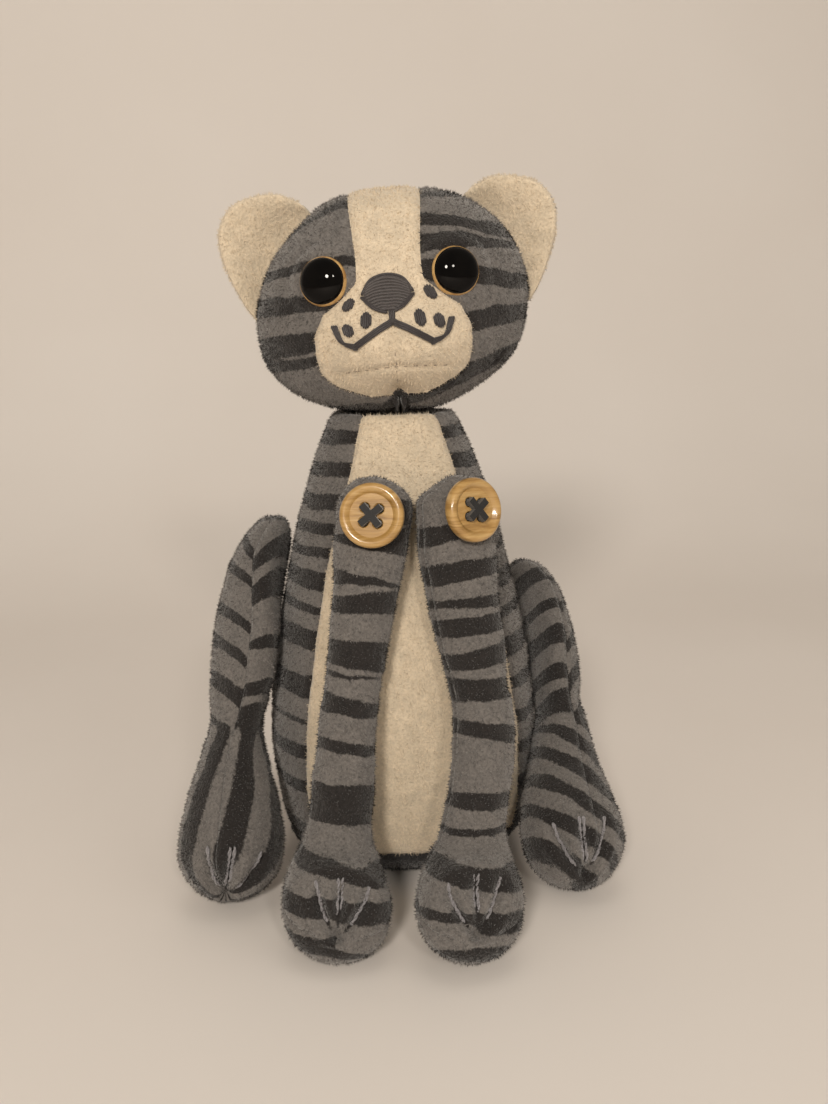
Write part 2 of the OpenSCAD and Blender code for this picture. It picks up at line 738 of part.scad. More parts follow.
hip_disc_t = 1.8;
hip_post_r = 2.4;
// How far the hip post reaches past the thigh, and where its washer sits
hip_reach = 14;
hip_washer_in = 10.5;
hip_washer_r = 6;

function hip_z(side) = side < 0 ? hip_z_left : hip_z_right;
function hip_y(side) = side < 0 ? 0 : hip_y_right;
function hind_turn(side) = side < 0 ? hind_turn_left : hind_turn_right;
function hip_x(side) = side < 0 ? hip_x_left : hip_x_right;
function hip_slope(side) = side < 0 ? hip_slope_left : hip_slope_right;
// How far the thigh reaches above its joint
function thigh_top(side) = side < 0 ? 29 : 25;
// Half the thickness of the thigh
function thigh_half(side) = (side < 0 ? thigh_left : thigh_right) / 2;

// Upright frame on the hip joint, leaning with the torso's side; +X points outwards
module hip_frame(side) {
  on_side(side) translate([hip_x(side), hip_y(side), hip_z(side)])
    rotate([0, -hip_slope(side), 0]) children();
}

module hind_frame(side) {
  hip_frame(side) rotate([-hind_turn(side), 0, 0]) children();
}

module hind_leg_outer(side) {
  color(grey) hind_frame(side) limb_panel(hind_rows(thigh_half(side), thigh_top(side)), 0, 180);
}

module hind_leg_inner(side) {
  color(grey) hind_frame(side) limb_panel(hind_rows(thigh_half(side), thigh_top(side)), 180, 360);
}

module hip_disc_shape(side, g) {
  hip_frame(side) rotate([0, -90, 0]) {
    translate([0, 0, -g]) cylinder(r = hip_disc_r + g, h = hip_disc_t + 2 * g);
    cylinder(r = hip_post_r + g, h = thigh_half(side) + hip_reach + g);
  }
}

module hind_leg_stuffing(side) {
  color(fill) difference() {
    hind_frame(side) limb_fill(hind_rows(thigh_half(side), thigh_top(side)));
    hip_disc_shape(side, fill_gap);
  }
}

module hind_toe_stitches(side) {
  color(silver_thread) hind_frame(side) toe_bands(hind_rows(thigh_half(side), thigh_top(side)), 3);
}

module hip_disc(side) {
  color(plastic) hip_disc_shape(side, 0);
}

module hip_washer(side) {
  color(plastic) hip_frame(side) rotate([0, -90, 0])
    translate([0, 0, thigh_half(side) + hip_washer_in]) difference() {
      cylinder(r = hip_washer_r, h = 1.5);
      translate([0, 0, -1]) cylinder(r = hip_post_r, h = 4);
    }
}

module hip_post_space(side) {
  hip_frame(side) rotate([0, -90, 0])
    cylinder(r = hip_post_r + play, h = thigh_half(side) + hip_reach + 2 * play);
}

module hip_washer_space(side) {
  hip_frame(side) rotate([0, -90, 0]) translate([0, 0, thigh_half(side) + hip_washer_in - play])
    cylinder(r = hip_washer_r + play, h = 1.5 + 2 * play);
}

// ---- Tail: lies on the floor behind the torso and curves to the left ----

tail_root = [0, body_d / 2 - 2.1, tail_r + 0.2];
// Radius of the curve that the tail lies in
tail_curve = 30;
// Rows along the tail: share of its length and share of its radius
tail_shares = [
  [0, 0.05], [0.012, 0.42], [0.045, 0.76], [0.10, 0.96], [0.24, 1], [0.42, 0.95], [0.60, 0.88],
  [0.76, 0.82], [0.88, 0.74], [0.95, 0.56], [0.985, 0.3], [1, 0.05]
];
tail_rows = [for (s = tail_shares)
  [s[0] * tail_l, s[1] * tail_r, s[1] * tail_r, s[1] * tail_r]];

function tail_rings(t) = [for (r = inset_rows(tail_rows, t))
  [for (c = [0:limb_cols - 1])
    let(along = r[0] / tail_curve * 180 / PI, g = -360 * c / limb_cols,
        side = tail_curve - r[1] * cos(g))
    tail_root + [tail_curve - side * cos(along), side * sin(along),
                 r[1] * sin(g)]]];

module tail_cover() {
  color(grey) difference() {
    skin(tail_rings(0));
    skin(tail_rings(fabric_t));
  }
}

module tail_stuffing() {
  color(fill) skin(tail_rings(fabric_t + fill_gap));
}

belly_panel();
side_panel(-1);  // side_panel_left
side_panel(1);  // side_panel_right
base_panel();
body_stuffing();
pellet_bag();
face_gusset();
head_side(-1);  // head_side_left
head_side(1);  // head_side_right
head_stuffing();
ear_front(-1);  // ear_front_left
ear_front(1);  // ear_front_right
ear_back(-1);  // ear_back_left
ear_back(1);  // ear_back_right
eye(-1);  // eye_left
eye(1);  // eye_right
eye_washers();
nose_embroidery();
mouth_embroidery();
whisker_spots();
neck_joint_disc();
neck_joint_washer();
front_leg_front(-1);  // front_leg_front_left
front_leg_back(-1);  // front_leg_back_left
front_leg_stuffing(-1);  // front_leg_stuffing_left
front_toe_stitches(-1);  // front_toe_stitches_left
leg_button(-1);  // leg_button_left
button_thread(-1);  // button_thread_left
inner_button(-1);  // inner_button_left
front_leg_front(1);  // front_leg_front_right
front_leg_back(1);  // front_leg_back_right
front_leg_stuffing(1);  // front_leg_stuffing_right
front_toe_stitches(1);  // front_toe_stitches_right
leg_button(1);  // leg_button_right
button_thread(1);  // button_thread_right
inner_button(1);  // inner_button_right
hind_leg_outer(-1);  // hind_leg_outer_left
hind_leg_inner(-1);  // hind_leg_inner_left
hind_leg_stuffing(-1);  // hind_leg_stuffing_left
hind_toe_stitches(-1);  // hind_toe_stitches_left
hip_disc(-1);  // hip_disc_left
hip_washer(-1);  // hip_washer_left
hind_leg_outer(1);  // hind_leg_outer_right
hind_leg_inner(1);  // hind_leg_inner_right
hind_leg_stuffing(1);  // hind_leg_stuffing_right
hind_toe_stitches(1);  // hind_toe_stitches_right
hip_disc(1);  // hip_disc_right
hip_washer(1);  // hip_washer_right
tail_cover();
tail_stuffing();
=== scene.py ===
"""Looks of a sitting plush cat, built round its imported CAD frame.

Shapes are computed in millimetres in the row frame, and become metres when a mesh is made.
A padded shape is a grid of points: rows along it, columns round it.
"""

import math

import bmesh
import bpy
import numpy as np
from mathutils import Matrix, Vector
from mathutils.bvhtree import BVHTree


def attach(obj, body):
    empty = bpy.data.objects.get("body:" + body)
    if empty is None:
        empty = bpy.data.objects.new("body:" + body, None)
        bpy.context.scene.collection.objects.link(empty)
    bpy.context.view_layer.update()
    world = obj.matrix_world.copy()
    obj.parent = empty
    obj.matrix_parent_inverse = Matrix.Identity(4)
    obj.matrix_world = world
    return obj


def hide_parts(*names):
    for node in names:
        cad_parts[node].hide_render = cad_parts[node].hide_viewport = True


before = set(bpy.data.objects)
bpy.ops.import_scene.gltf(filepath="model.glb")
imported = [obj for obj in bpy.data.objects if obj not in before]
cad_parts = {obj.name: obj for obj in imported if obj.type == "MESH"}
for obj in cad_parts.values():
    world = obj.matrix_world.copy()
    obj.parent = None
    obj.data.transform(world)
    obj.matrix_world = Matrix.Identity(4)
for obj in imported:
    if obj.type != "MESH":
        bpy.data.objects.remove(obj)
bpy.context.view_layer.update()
scene = bpy.context.scene
MM = 0.001
SIDES = {"left": -1, "right": 1}


# ---- The CAD part's numbers, a little changed in places, in millimetres and degrees ----

BODY_H, BODY_W, BODY_D, BODY_LEAN = 119.8, 73.6, 62.0, 0.013
HEAD_W, HEAD_D, HEAD_H = 69.0, 49.0, 55.6
HEAD_CENTRE = np.array([-1.5, -2.8, 148.4])
HEAD_TURN, HEAD_ROLL = -8.0, -3.5
HEAD_POWER, MUZZLE_OUT, CHEEK_OUT = 2.25, 5.0, 1.6
EYE_D = 12.0
BUTTON_D, BUTTON_T = 15.0, 3.2
BUTTON_X, FRONT_Y = 11.2, -29.4
FRONT = {"left": dict(z=98.4, slant=9.5, swing=8.0, bow=0.3, turn=17.0),
         "right": dict(z=98.1, slant=14.0, swing=-3.0, bow=4.4, turn=26.0)}
LEG_THICK = 6.6
HIND = {"left": dict(x=41.9, y=0.0, z=67.6, turn=23.0, slope=10.5, thick=7.8, top=29.0),
        "right": dict(x=43.0, y=10.5, z=53.9, turn=45.0, slope=1.0, thick=6.5, top=25.0)}
TAIL_L, TAIL_R, TAIL_CURVE = 62.0, 6.0, 30.0
# Thickness of the cloth, and the least height over the floor
CLOTH, FLOOR_GAP = 0.8, 0.05

# Torso: height, half width, front depth and back depth, as shares
TORSO = [(0, 0.02, 0.02, 0.02), (0, 0.34, 0.30, 0.34), (0, 0.66, 0.56, 0.68),
         (0.012, 0.79, 0.73, 0.81), (0.042, 0.885, 0.86, 0.90), (0.10, 0.945, 0.94, 0.96),
         (0.20, 0.985, 0.985, 1.0), (0.317, 1.0, 1.0, 1.0), (0.484, 0.94, 0.97, 0.935),
         (0.65, 0.83, 0.87, 0.825), (0.768, 0.733, 0.775, 0.71), (0.868, 0.636, 0.66, 0.61),
         (0.945, 0.54, 0.56, 0.52), (0.985, 0.475, 0.49, 0.46), (1.005, 0.435, 0.45, 0.42),
         (1.01, 0.40, 0.41, 0.38), (1.005, 0.35, 0.36, 0.34), (0.999, 0.22, 0.22, 0.22),
         (0.999, 0.01, 0.01, 0.01)]
# The rows between its closed ends
TORSO_SIDES = slice(3, -5)
# Half width of the belly panel, in degrees round the torso, by the share of the height
BELLY = ((0.04, 55), (0.45, 49), (0.70, 46), (0.80, 42), (0.90, 38), (1, 38))
# Half width of the cream strip over the head, in degrees to the side, by the angle over it
GUSSET = ((-90, 2), (-62, 2), (-57.5, 8), (-54, 20), (-49.5, 30.5), (-43, 36.5), (-32, 38.5),
          (-18, 39.5), (-6, 35), (2, 25.5), (10, 17.5), (20, 17), (60, 18), (90, 18), (180, 14),
          (255, 5), (270, 2))


def front_rows(bow):
    """Rows of a front leg: x, y, z, pitch, half width across, half width square to it, turn."""
    return [(-0.6, -0.8, 9.9, 0, 0.02, 0.02, 1), (-0.6, -0.8, 8.6, 0, 5, 3, 1),
            (-0.4, -0.4, 5, 0, 7.9, 5.2, 1), (-0.2, 0, -4, 0, 8.4, LEG_THICK, 1),
            (0.3 * bow, 0, -18, 0, 7.3, 6.8, 0.8), (0.8 * bow, 0, -36, 0, 7.1, 6.8, 0.6),
            (bow, 0, -54, 0, 7.3, 6.9, 0.4), (0.8 * bow, -0.4, -67, 0, 7.7, 6.9, 0.3),
            (0.45 * bow, -0.9, -76.5, 5, 8.3, 7.2, 0.3), (0.1 * bow, -2.9, -83.3, 28, 10.9, 9.2, 0.3),
            (0, -6.4, -88.8, 55, 12.4, 11.2, 0.3), (0, -10.8, -91.4, 70, 12.5, 11.2, 0.3),
            (0, -14.8, -93.2, 84, 10.8, 9, 0.3), (0, -17.0, -94.8, 88, 6.2, 5, 0.3),
            (0, -17.6, -95.6, 90, 0.02, 0.02, 0.3)]


def hind_rows(thick, top):
    """Rows of a hind leg, with the same columns as a front leg's."""
    return [(-4.2, 0, top, 0, 0.02, 0.02, 0), (-4, 0, 0.94 * top, 0, 3.4, 6, 0),
            (-3.2, 0, 0.81 * top, 0, 5.4, 10.5, 0), (-1.2, 0, 0.52 * top, 0, 0.92 * thick, 14.5, 0),
            (0, 0, 1, 0, thick, 15.6, 0), (0, 0, -12, 0, thick, 14, 0),
            (-0.3, 0, -22, 0, 0.95 * thick, 10.5, 0), (-0.8, 0, -30, 0, 7.4, 9.6, 0),
            (-1.8, 0, -40, 0, 9.4, 10.6, 0), (-2.8, -0.5, -50, 4, 12, 12, 0),
            (-3.3, -1.5, -58, 10, 13.1, 12.2, 0), (-3.4, -3, -65, 18, 12.2, 11, 0),
            (-3.4, -4.5, -69.5, 26, 8.2, 7.6, 0), (-3.4, -5.3, -71.2, 30, 4.6, 4.2, 0),
            (-3.4, -5.6, -71.8, 30, 0.02, 0.02, 0)]


# ---- Turning and moving ----

def turn(axis, degrees):
    return np.array(Matrix.Rotation(math.radians(degrees), 4, axis))


def shift(x, y, z):
    return np.array(Matrix.Translation((x, y, z)))


def mirrored(side):
    return np.diag([SIDES[side], 1.0, 1.0, 1.0])


def moved(points, matrix):
    return points @ matrix[:3, :3].T + matrix[:3, 3]


def head_frame():
    return shift(*HEAD_CENTRE) @ turn("Z", HEAD_TURN) @ turn("Y", HEAD_ROLL)


def front_frame(side):
    leg = FRONT[side]
    return (mirrored(side) @ shift(BUTTON_X, FRONT_Y, leg["z"]) @ turn("X", -leg["slant"])
            @ turn("Y", -leg["swing"]))


def button_frame(side):
    """On the leg's front, with +Z out of the button."""
    front = LEG_THICK + 0.3
    facing = FRONT[side]["turn"]
    aside = front * math.tan(math.radians(facing))
    return (front_frame(side) @ turn("Z", facing) @ shift(-aside, -front, 0)
            @ turn("X", 90))


def hind_frame(side):
    leg = HIND[side]
    return (mirrored(side) @ shift(leg["x"], leg["y"], leg["z"]) @ turn("Y", -leg["slope"])
            @ turn("X", -leg["turn"]))


# ---- Noise ----

def noise(points, size, seed=0):
    """Smooth noise from about -1 to 1 whose lumps are size across, at an array of points."""
    p = points.reshape(-1, 3) / size + 97.3 + 31.7 * seed
    cell = np.floor(p).astype(np.int64)
    f = p - cell
    fade = f * f * f * (f * (f * 6 - 15) + 10)
    total = np.zeros(len(p))
    for corner in np.ndindex(2, 2, 2):
        c = np.array(corner)
        h = (cell + c) @ np.array([73856093, 19349663, 83492791]) ^ (seed * 2654435761)
        h = ((h ^ (h >> 13)) * 1274126177) & 0xFFFFFFFF
        h ^= h >> 16
        slope = np.stack([h & 255, h >> 8 & 255, h >> 16 & 255], -1) / 127.5 - 1
        weight = np.prod(np.where(c == 1, fade, 1 - fade), 1)
        total += weight * ((f - c) * slope).sum(1)
    return (total * 1.6).reshape(points.shape[:-1])


# ---- Grids ----

def unit(v):
    """The vectors in v, each with a length of 1."""
    return v / (np.linalg.norm(v, axis=-1, keepdims=True) + 1e-9)


def lengths(path, spacing=1.0):
    """Distance of each point of a path from its start; spacing scales each number."""
    return np.r_[0, np.cumsum(np.linalg.norm(np.diff(path, axis=0) * spacing, axis=1))]


def smooth_rows(rows, count, spacing):
    """count rows, evenly apart along a smooth curve through rows."""
    r = np.array(rows, float)
    t = lengths(r, spacing)
    slope = np.gradient(r, t, axis=0)
    at = np.linspace(0, t[-1], count)
    i = np.clip(np.searchsorted(t, at, "right") - 1, 0, len(t) - 2)
    h = (t[i + 1] - t[i])[:, None]
    s = ((at - t[i])[:, None]) / h
    return ((2 * s**3 - 3 * s**2 + 1) * r[i] + (s**3 - 2 * s**2 + s) * h * slope[i]
            + (-2 * s**3 + 3 * s**2) * r[i + 1] + (s**3 - s**2) * h * slope[i + 1])


def facing_out(across, grid, inside):
    """Normals of a grid, by its direction across, that point away from inside."""
    n = unit(np.cross(across, np.gradient(grid, axis=0)))
    return -n if (n * (grid - inside)).sum() < 0 else n


def normals(grid):
    """Outward normals of a grid that closes round its columns."""
    n = facing_out(np.roll(grid, -1, 1) - np.roll(grid, 1, 1), grid,
                   grid.mean(1, keepdims=True))
    for end, beside in ((0, 1), (-1, -2)):
        n[end] = unit(n[beside].mean(0))
    return n


def finer(grid, times=2):
    """A grid that closes round its columns, with new points between its neighbours."""
    for _ in range(times):
        ends = np.concatenate([grid[:1], grid, grid[-1:]])
        rows = (9 * (ends[1:-2] + ends[2:-1]) - ends[:-3] - ends[3:]) / 16
        out = np.empty((2 * len(grid) - 1, *grid.shape[1:]))
        out[0::2], out[1::2] = grid, rows
        cols = (9 * (out + np.roll(out, -1, 1)) - np.roll(out, 1, 1) - np.roll(out, -2, 1)) / 16
        grid = np.empty((len(out), 2 * out.shape[1], 3))
        grid[:, 0::2], grid[:, 1::2] = out, cols
    return grid


def from_column(grid, col):
    """Distance of each point from a column, measured round its row."""
    cols = grid.shape[1]
    apart = abs(np.arange(cols) - col)
    return np.minimum(apart, cols - apart) * np.linalg.norm(np.roll(grid, -1, 1) - grid, axis=2)


def ring_faces(rings, sides):
    """Faces between rings of points, each of which closes."""
    return [(i * sides + j, i * sides + k, (i + 1) * sides + k, (i + 1) * sides + j)
            for i in range(rings - 1) for j, k in zip(range(sides), [*range(1, sides), 0])]


def patch_faces(rows, cols):
    """Faces of an open grid of points."""
    a = (np.arange(rows - 1)[:, None] * cols + np.arange(cols - 1)).ravel()
    return np.stack([a, a + 1, a + cols + 1, a + cols], 1)


# ---- Stuffing ----

# Scale of the cloth simulation, so that millimetres become a size that it is steady at
SIM_SCALE = 0.01
SIM_FRAMES = 20
SIM_CLOTH = dict(quality=6, mass=0.2, tension_stiffness=20, compression_stiffness=20,
                 shear_stiffness=6, bending_stiffness=0.6, use_pressure=True,
                 uniform_pressure_force=6.0, vertex_group_shrink="tight", shrink_min=0.0,
                 shrink_max=0.12)


def stuffed(grid, seam_rows=(), seam_cols=(), cap=0.7):
    """The grid as filled cloth: simulated under pressure, with its seams drawn tight. The
    first and last rows are single points. No point moves further than cap."""
    rows, cols = grid.shape[:2]
    start = grid - 0.5 * normals(grid)
    start[0], start[-1] = start[0].mean(0), start[-1].mean(0)
    points = np.concatenate([start[0, :1], start[1:-1].reshape(-1, 3), start[-1, :1]])
    last = len(points) - 1
    faces = [(0, 1 + (c + 1) % cols, 1 + c) for c in range(cols)]
    faces += [tuple(1 + i for i in q) for q in ring_faces(rows - 2, cols)]
    faces += [(last - cols + c, last - cols + (c + 1) % cols, last) for c in range(cols)]
    obj = new_object("stuffing_sim", points * SIM_SCALE, faces)
    outward(obj.data)
    on_seam = np.zeros((rows, cols))
    on_seam[list(seam_rows)] = 1
    on_seam[:, list(seam_cols)] = 1
    tight = np.nonzero(on_seam[1:-1].ravel())[0] + 1
    obj.vertex_groups.new(name="tight").add(tight.tolist(), 1.0, "REPLACE")
    cloth = obj.modifiers.new("cloth", "CLOTH")
    for key, value in SIM_CLOTH.items():
        setattr(cloth.settings, key, value)
    cloth.settings.effector_weights.gravity = 0
    cloth.collision_settings.use_collision = False
    cloth.point_cache.frame_start, cloth.point_cache.frame_end = 1, SIM_FRAMES
    for f in range(1, SIM_FRAMES + 1):
        scene.frame_set(f)
    done = obj.evaluated_get(bpy.context.evaluated_depsgraph_get()).data
    co = np.empty(len(points) * 3, np.float32)
    done.vertices.foreach_get("co", co)
    co = co.reshape(-1, 3).astype(float) / SIM_SCALE
    scene.frame_set(1)
    bpy.data.meshes.remove(obj.data)
    out = np.empty(grid.shape)
    out[0], out[1:-1], out[-1] = co[0], co[1:-1].reshape(rows - 2, cols, 3), co[-1]
    step = out - grid
    return grid + step * np.minimum(1, cap / (np.linalg.norm(step, axis=2, keepdims=True) + 1e-9))


# ---- Meshes ----

# Points closer than this are joined, in metres
MERGE = 0.00001


def new_object(name, points, faces):
    mesh = bpy.data.meshes.new(name)
    mesh.from_pydata([tuple(p) for p in points], [], faces)
    obj = bpy.data.objects.new(name, mesh)
    scene.collection.objects.link(obj)
    return obj


def outward(mesh, merge=0.0):
    """Turns every face of a closed mesh outwards, and joins points closer than merge."""
    bm = bmesh.new()
    bm.from_mesh(mesh)
    if merge:
        bmesh.ops.remove_doubles(bm, verts=bm.verts, dist=merge)
    bmesh.ops.recalc_face_normals(bm, faces=bm.faces)
    bm.to_mesh(mesh)
    bm.free()


def piece(name, points, faces, body, materials, smooth=True):
    """A visible piece that rides on a body, from points in millimetres."""
    obj = new_object(name, points * MM, faces)
    for m in materials:
        obj.data.materials.append(m)
    obj.data.polygons.foreach_set("use_smooth", [smooth] * len(faces))
    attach(obj, body)
    return obj


def solid(name, points, faces, body, slot, material, nodes=()):
    """A closed piece that stands for the nodes given."""
    obj = piece(name, points, faces, body, [material])
    outward(obj.data, MERGE)
    if nodes:
        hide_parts(*nodes)
    return obj


def panel(name, grid, field, body, cloth, nodes, inside):
    """A panel of cloth: grid is its outer face, an open patch of points. It has the cloth's
    thickness, and its edges are turned in along the seams. field colours its stripes, and on
    the legs also paints shade along the toes' stitches; its outer face points away from inside."""
    slot, material, nap = CLOTHS[cloth]
    rows, cols = grid.shape[:2]
    half = rows * cols
    n = facing_out(np.gradient(grid, axis=1), grid, inside)
    points = np.concatenate([grid.reshape(-1, 3), (grid - n * CLOTH).reshape(-1, 3)])
    quads = patch_faces(rows, cols)
    index = np.arange(half).reshape(rows, cols)
    rim = np.concatenate([index[0, :0:-1], index[:-1, 0], index[-1, :-1], index[:0:-1, -1]])
    after = np.roll(rim, -1)
    walls = np.stack([rim, after, half + after, half + rim], 1)
    faces = np.concatenate([quads, quads[:, ::-1] + half, walls]).tolist()
    obj = piece(name, points, faces, body, [material])
    # The attribute holds the dark stripes, and on the legs painted shade along the toe stitches
    stripe_and_shade = obj.data.attributes.new("stripe_and_shade", "FLOAT", "POINT")
    stripe_and_shade.data.foreach_set("value", np.tile(field.ravel(), 2).astype(np.float32))
    outward(obj.data, MERGE)
    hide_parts(*nodes)
    nap_piece(name + "_nap", grid, n, field, quads, body, nap)


# ---- Nap: the fleece's short fibres, each a thin closed spike ----

FIBRES_PER_MM2 = 2.6
FIBRE_LENGTH, FIBRE_WIDTH = 0.85, 0.26
# How deep a fibre is rooted in the cloth, how far it leans any way, and how far it hangs down
FIBRE_ROOT, FIBRE_LEAN, FIBRE_FALL = 0.12, 0.6, 0.3
# Width of a cream fibre, as a share of the others'
CREAM_FINE = 0.8


def nap_piece(name, grid, n, field, quads, body, nap):
    """Fibres all over a grid, in the nap's dark colours where the field is above 0."""
    light, dark = nap
    tris = np.concatenate([quads[:, [0, 1, 2]], quads[:, [0, 2, 3]]])
    a, b, c = (grid.reshape(-1, 3)[tris[:, i]] for i in range(3))
    area = np.linalg.norm(np.cross(b - a, c - a), axis=1) / 2
    count = int(area.sum() * FIBRES_PER_MM2)
    draw = np.random.default_rng(len(name) * 101 + count)
    pick = draw.choice(len(tris), count, p=area / area.sum())
    u, v = draw.random(count), draw.random(count)
    over = u + v > 1
    u[over], v[over] = 1 - u[over], 1 - v[over]
    w = np.stack([1 - u - v, u, v], 1)[:, :, None]
    t = tris[pick]
    root = (grid.reshape(-1, 3)[t] * w).sum(1)
    out = unit((n.reshape(-1, 3)[t] * w).sum(1))
    value = (field.ravel()[t] * w[:, :, 0]).sum(1)
    lay = draw.normal(0, FIBRE_LEAN, (count, 3)) - [0, 0, FIBRE_FALL]
    way = unit(out + lay - out * (lay * out).sum(1, keepdims=True))
    length = FIBRE_LENGTH * draw.uniform(0.6, 1.35, (count, 1))
    side = unit(np.cross(out, way + draw.normal(0, 0.3, (count, 3))))
    other = np.cross(out, side)
    root -= out * FIBRE_ROOT
    fine = CREAM_FINE if light is CREAM_NAP else 1.0
    wide = FIBRE_WIDTH * fine * draw.uniform(0.7, 1.2, (count, 1))
    points = np.stack([root + side * wide / 2, root - side * wide / 2,
                       root + other * wide * 0.8, root + way * length], 1).reshape(-1, 3)
    k = np.arange(count)[:, None] * 4
    faces = np.concatenate([k + [0, 1, 3], k + [1, 2, 3], k + [2, 0, 3], k + [0, 2, 1]])
    tint = draw.random(count)
    is_dark = value + draw.normal(0, 0.12, count) > 0
    index = np.where(is_dark & (len(dark) > 0), len(light) + (tint * len(dark)).astype(int),
                     (tint * len(light)).astype(int))
    obj = piece(name, points, faces.tolist(), body, light + dark, smooth=False)
    obj.data.polygons.foreach_set("material_index", np.tile(index, 4).astype(np.int32))


# ---- Materials ----

def srgb(r, g, b):
    return tuple((x / 12.92 if x <= 0.04045 else ((x + 0.055) / 1.055) ** 2.4)
                 for x in (r / 255, g / 255, b / 255)) + (1.0,)


def shaded(colour, share):
    """The colour, made lighter or darker."""
    return tuple(min(1, x * share) for x in colour[:3]) + (1,)


def new_material(name, **values):
    m = bpy.data.materials.new(name)
    m.use_nodes = True
    shader = m.node_tree.nodes["Principled BSDF"]
    for key, value in values.items():
        shader.inputs[key.replace("_", " ")].default_value = value
    return m, m.node_tree, shader


def add(tree, kind, links=(), **values):
    """A node with its settings; links are (output socket, input name) pairs."""
    node = tree.nodes.new(kind)
    for key, value in values.items():
        if hasattr(node, key):
            setattr(node, key, value)
        else:
            node.inputs[key.replace("_", " ")].default_value = value
    for socket, name in links:
        tree.links.new(socket, node.inputs[name])
    return node


def place(tree):
    return add(tree, "ShaderNodeTexCoord").outputs["Object"]


def speckle(tree, scale, detail=2.0, rough=0.5):
    return add(tree, "ShaderNodeTexNoise", [(place(tree), "Vector")], Scale=scale, Detail=detail,
               Roughness=rough).outputs["Fac"]


def ramp(tree, fac, stops):
    node = add(tree, "ShaderNodeValToRGB", [(fac, "Fac")])
    node.color_ramp.elements[0].position, node.color_ramp.elements[0].color = stops[0]
    node.color_ramp.elements[1].position, node.color_ramp.elements[1].color = stops[-1]
    for position, colour in stops[1:-1]:
        node.color_ramp.elements.new(position).color = colour
    return node.outputs["Color"]


def mix(tree, fac, a, b, kind="MIX"):
    node = add(tree, "ShaderNodeMix", data_type="RGBA", blend_type=kind)
    for value, i in ((fac, 0), (a, 6), (b, 7)):
        if isinstance(value, bpy.types.NodeSocket):
            tree.links.new(value, node.inputs[i])
        else:
            node.inputs[i].default_value = value
    return node.outputs[2]


def bump(tree, shader, height, distance, strength=1.0):
    node = add(tree, "ShaderNodeBump", [(height, "Height")], Strength=strength,
               Distance=distance)
    tree.links.new(node.outputs["Normal"], shader.inputs["Normal"])


def mottled(name, scale, stops, detail=2.0, bumps=None, **values):
    """A material whose colour varies a little between the stops. bumps is the depth and the
    strength of its bumps."""
    m, tree, shader = new_material(name, **values)
    grain = speckle(tree, scale, detail)
    tree.links.new(ramp(tree, grain, stops), shader.inputs["Base Color"])
    if bumps:
        bump(tree, shader, grain, *bumps)
    return m


def fleece(name, light, dark=None, spread=0.28):
    """Short-nap fleece, dark where the mesh's attribute is above 0: for its dark stripes, and
    for the painted shade along the legs' toe stitches.
    """
    m, tree, shader = new_material(name, Roughness=0.95, Sheen_Weight=0.35,
                                   Sheen_Roughness=0.5, Specular_IOR_Level=0.15)
    fine = speckle(tree, 1500, 3.0, 0.6)

    def heather(colour, spread):
        return ramp(tree, fine, [(0.3, shaded(colour, 1 - spread)), (0.5, colour),
                                 (0.72, shaded(colour, 1 + spread))])

    colour = heather(light, spread)
    if dark:
        field = add(tree, "ShaderNodeAttribute", attribute_name="stripe_and_shade").outputs["Fac"]
        ragged = add(tree, "ShaderNodeMath", [(speckle(tree, 1100), 0)],
                     operation="MULTIPLY_ADD")
        ragged.inputs[1].default_value = 0.9
        ragged.inputs[2].default_value = -0.45
        total = add(tree, "ShaderNodeMath", [(field, 0), (ragged.outputs[0], 1)],
                    operation="ADD").outputs[0]
        edge = add(tree, "ShaderNodeMapRange", [(total, "Value")], From_Min=-0.16, From_Max=0.16)
        colour = mix(tree, edge.outputs["Result"], colour, heather(dark, 0.3))
    worn = ramp(tree, speckle(tree, 260),
                [(0.3, (0.90, 0.90, 0.90, 1)), (0.7, (1.06, 1.05, 1.04, 1))])
    tree.links.new(mix(tree, 1.0, colour, worn, "MULTIPLY"), shader.inputs["Base Color"])
    bump(tree, shader, fine, 0.0005, 0.8)
    return m


def fibres(name, colour, shares):
    """The nap's materials: the colour of its cloth in several shades."""
    made = []
    for i, share in enumerate(shares):
        m, tree, shader = new_material(f"{name}_{i}", Roughness=0.85, Sheen_Weight=0.3,
                                       Specular_IOR_Level=0.2, Base_Color=shaded(colour, share))
        bump(tree, shader, speckle(tree, 2500), 0.00005)
        made.append(m)
    return made


def floss(name, colour, gloss=0.45):
    """Embroidery thread: a soft shine and a fine mottled grain, in colour and in bumps."""
    return mottled(name, 3500, [(0.3, shaded(colour, 0.72)), (0.7, shaded(colour, 1.3))], 3.0,
                   (0.0001, 0.7), Roughness=gloss, Sheen_Weight=0.4, Specular_IOR_Level=0.4)


GREY, DARK, CREAM = srgb(107, 103, 100), srgb(40, 37, 36), srgb(210, 195, 172)
BASE = srgb(44, 43, 44)
CREAM_CLOTH = fleece("cream_fleece", CREAM, DARK, 0.14)
DARK_NAP = fibres("dark_fibre", DARK, (0.7, 1.0, 1.6))
CREAM_NAP = fibres("cream_fibre", CREAM, (0.88, 1.02, 1.18))
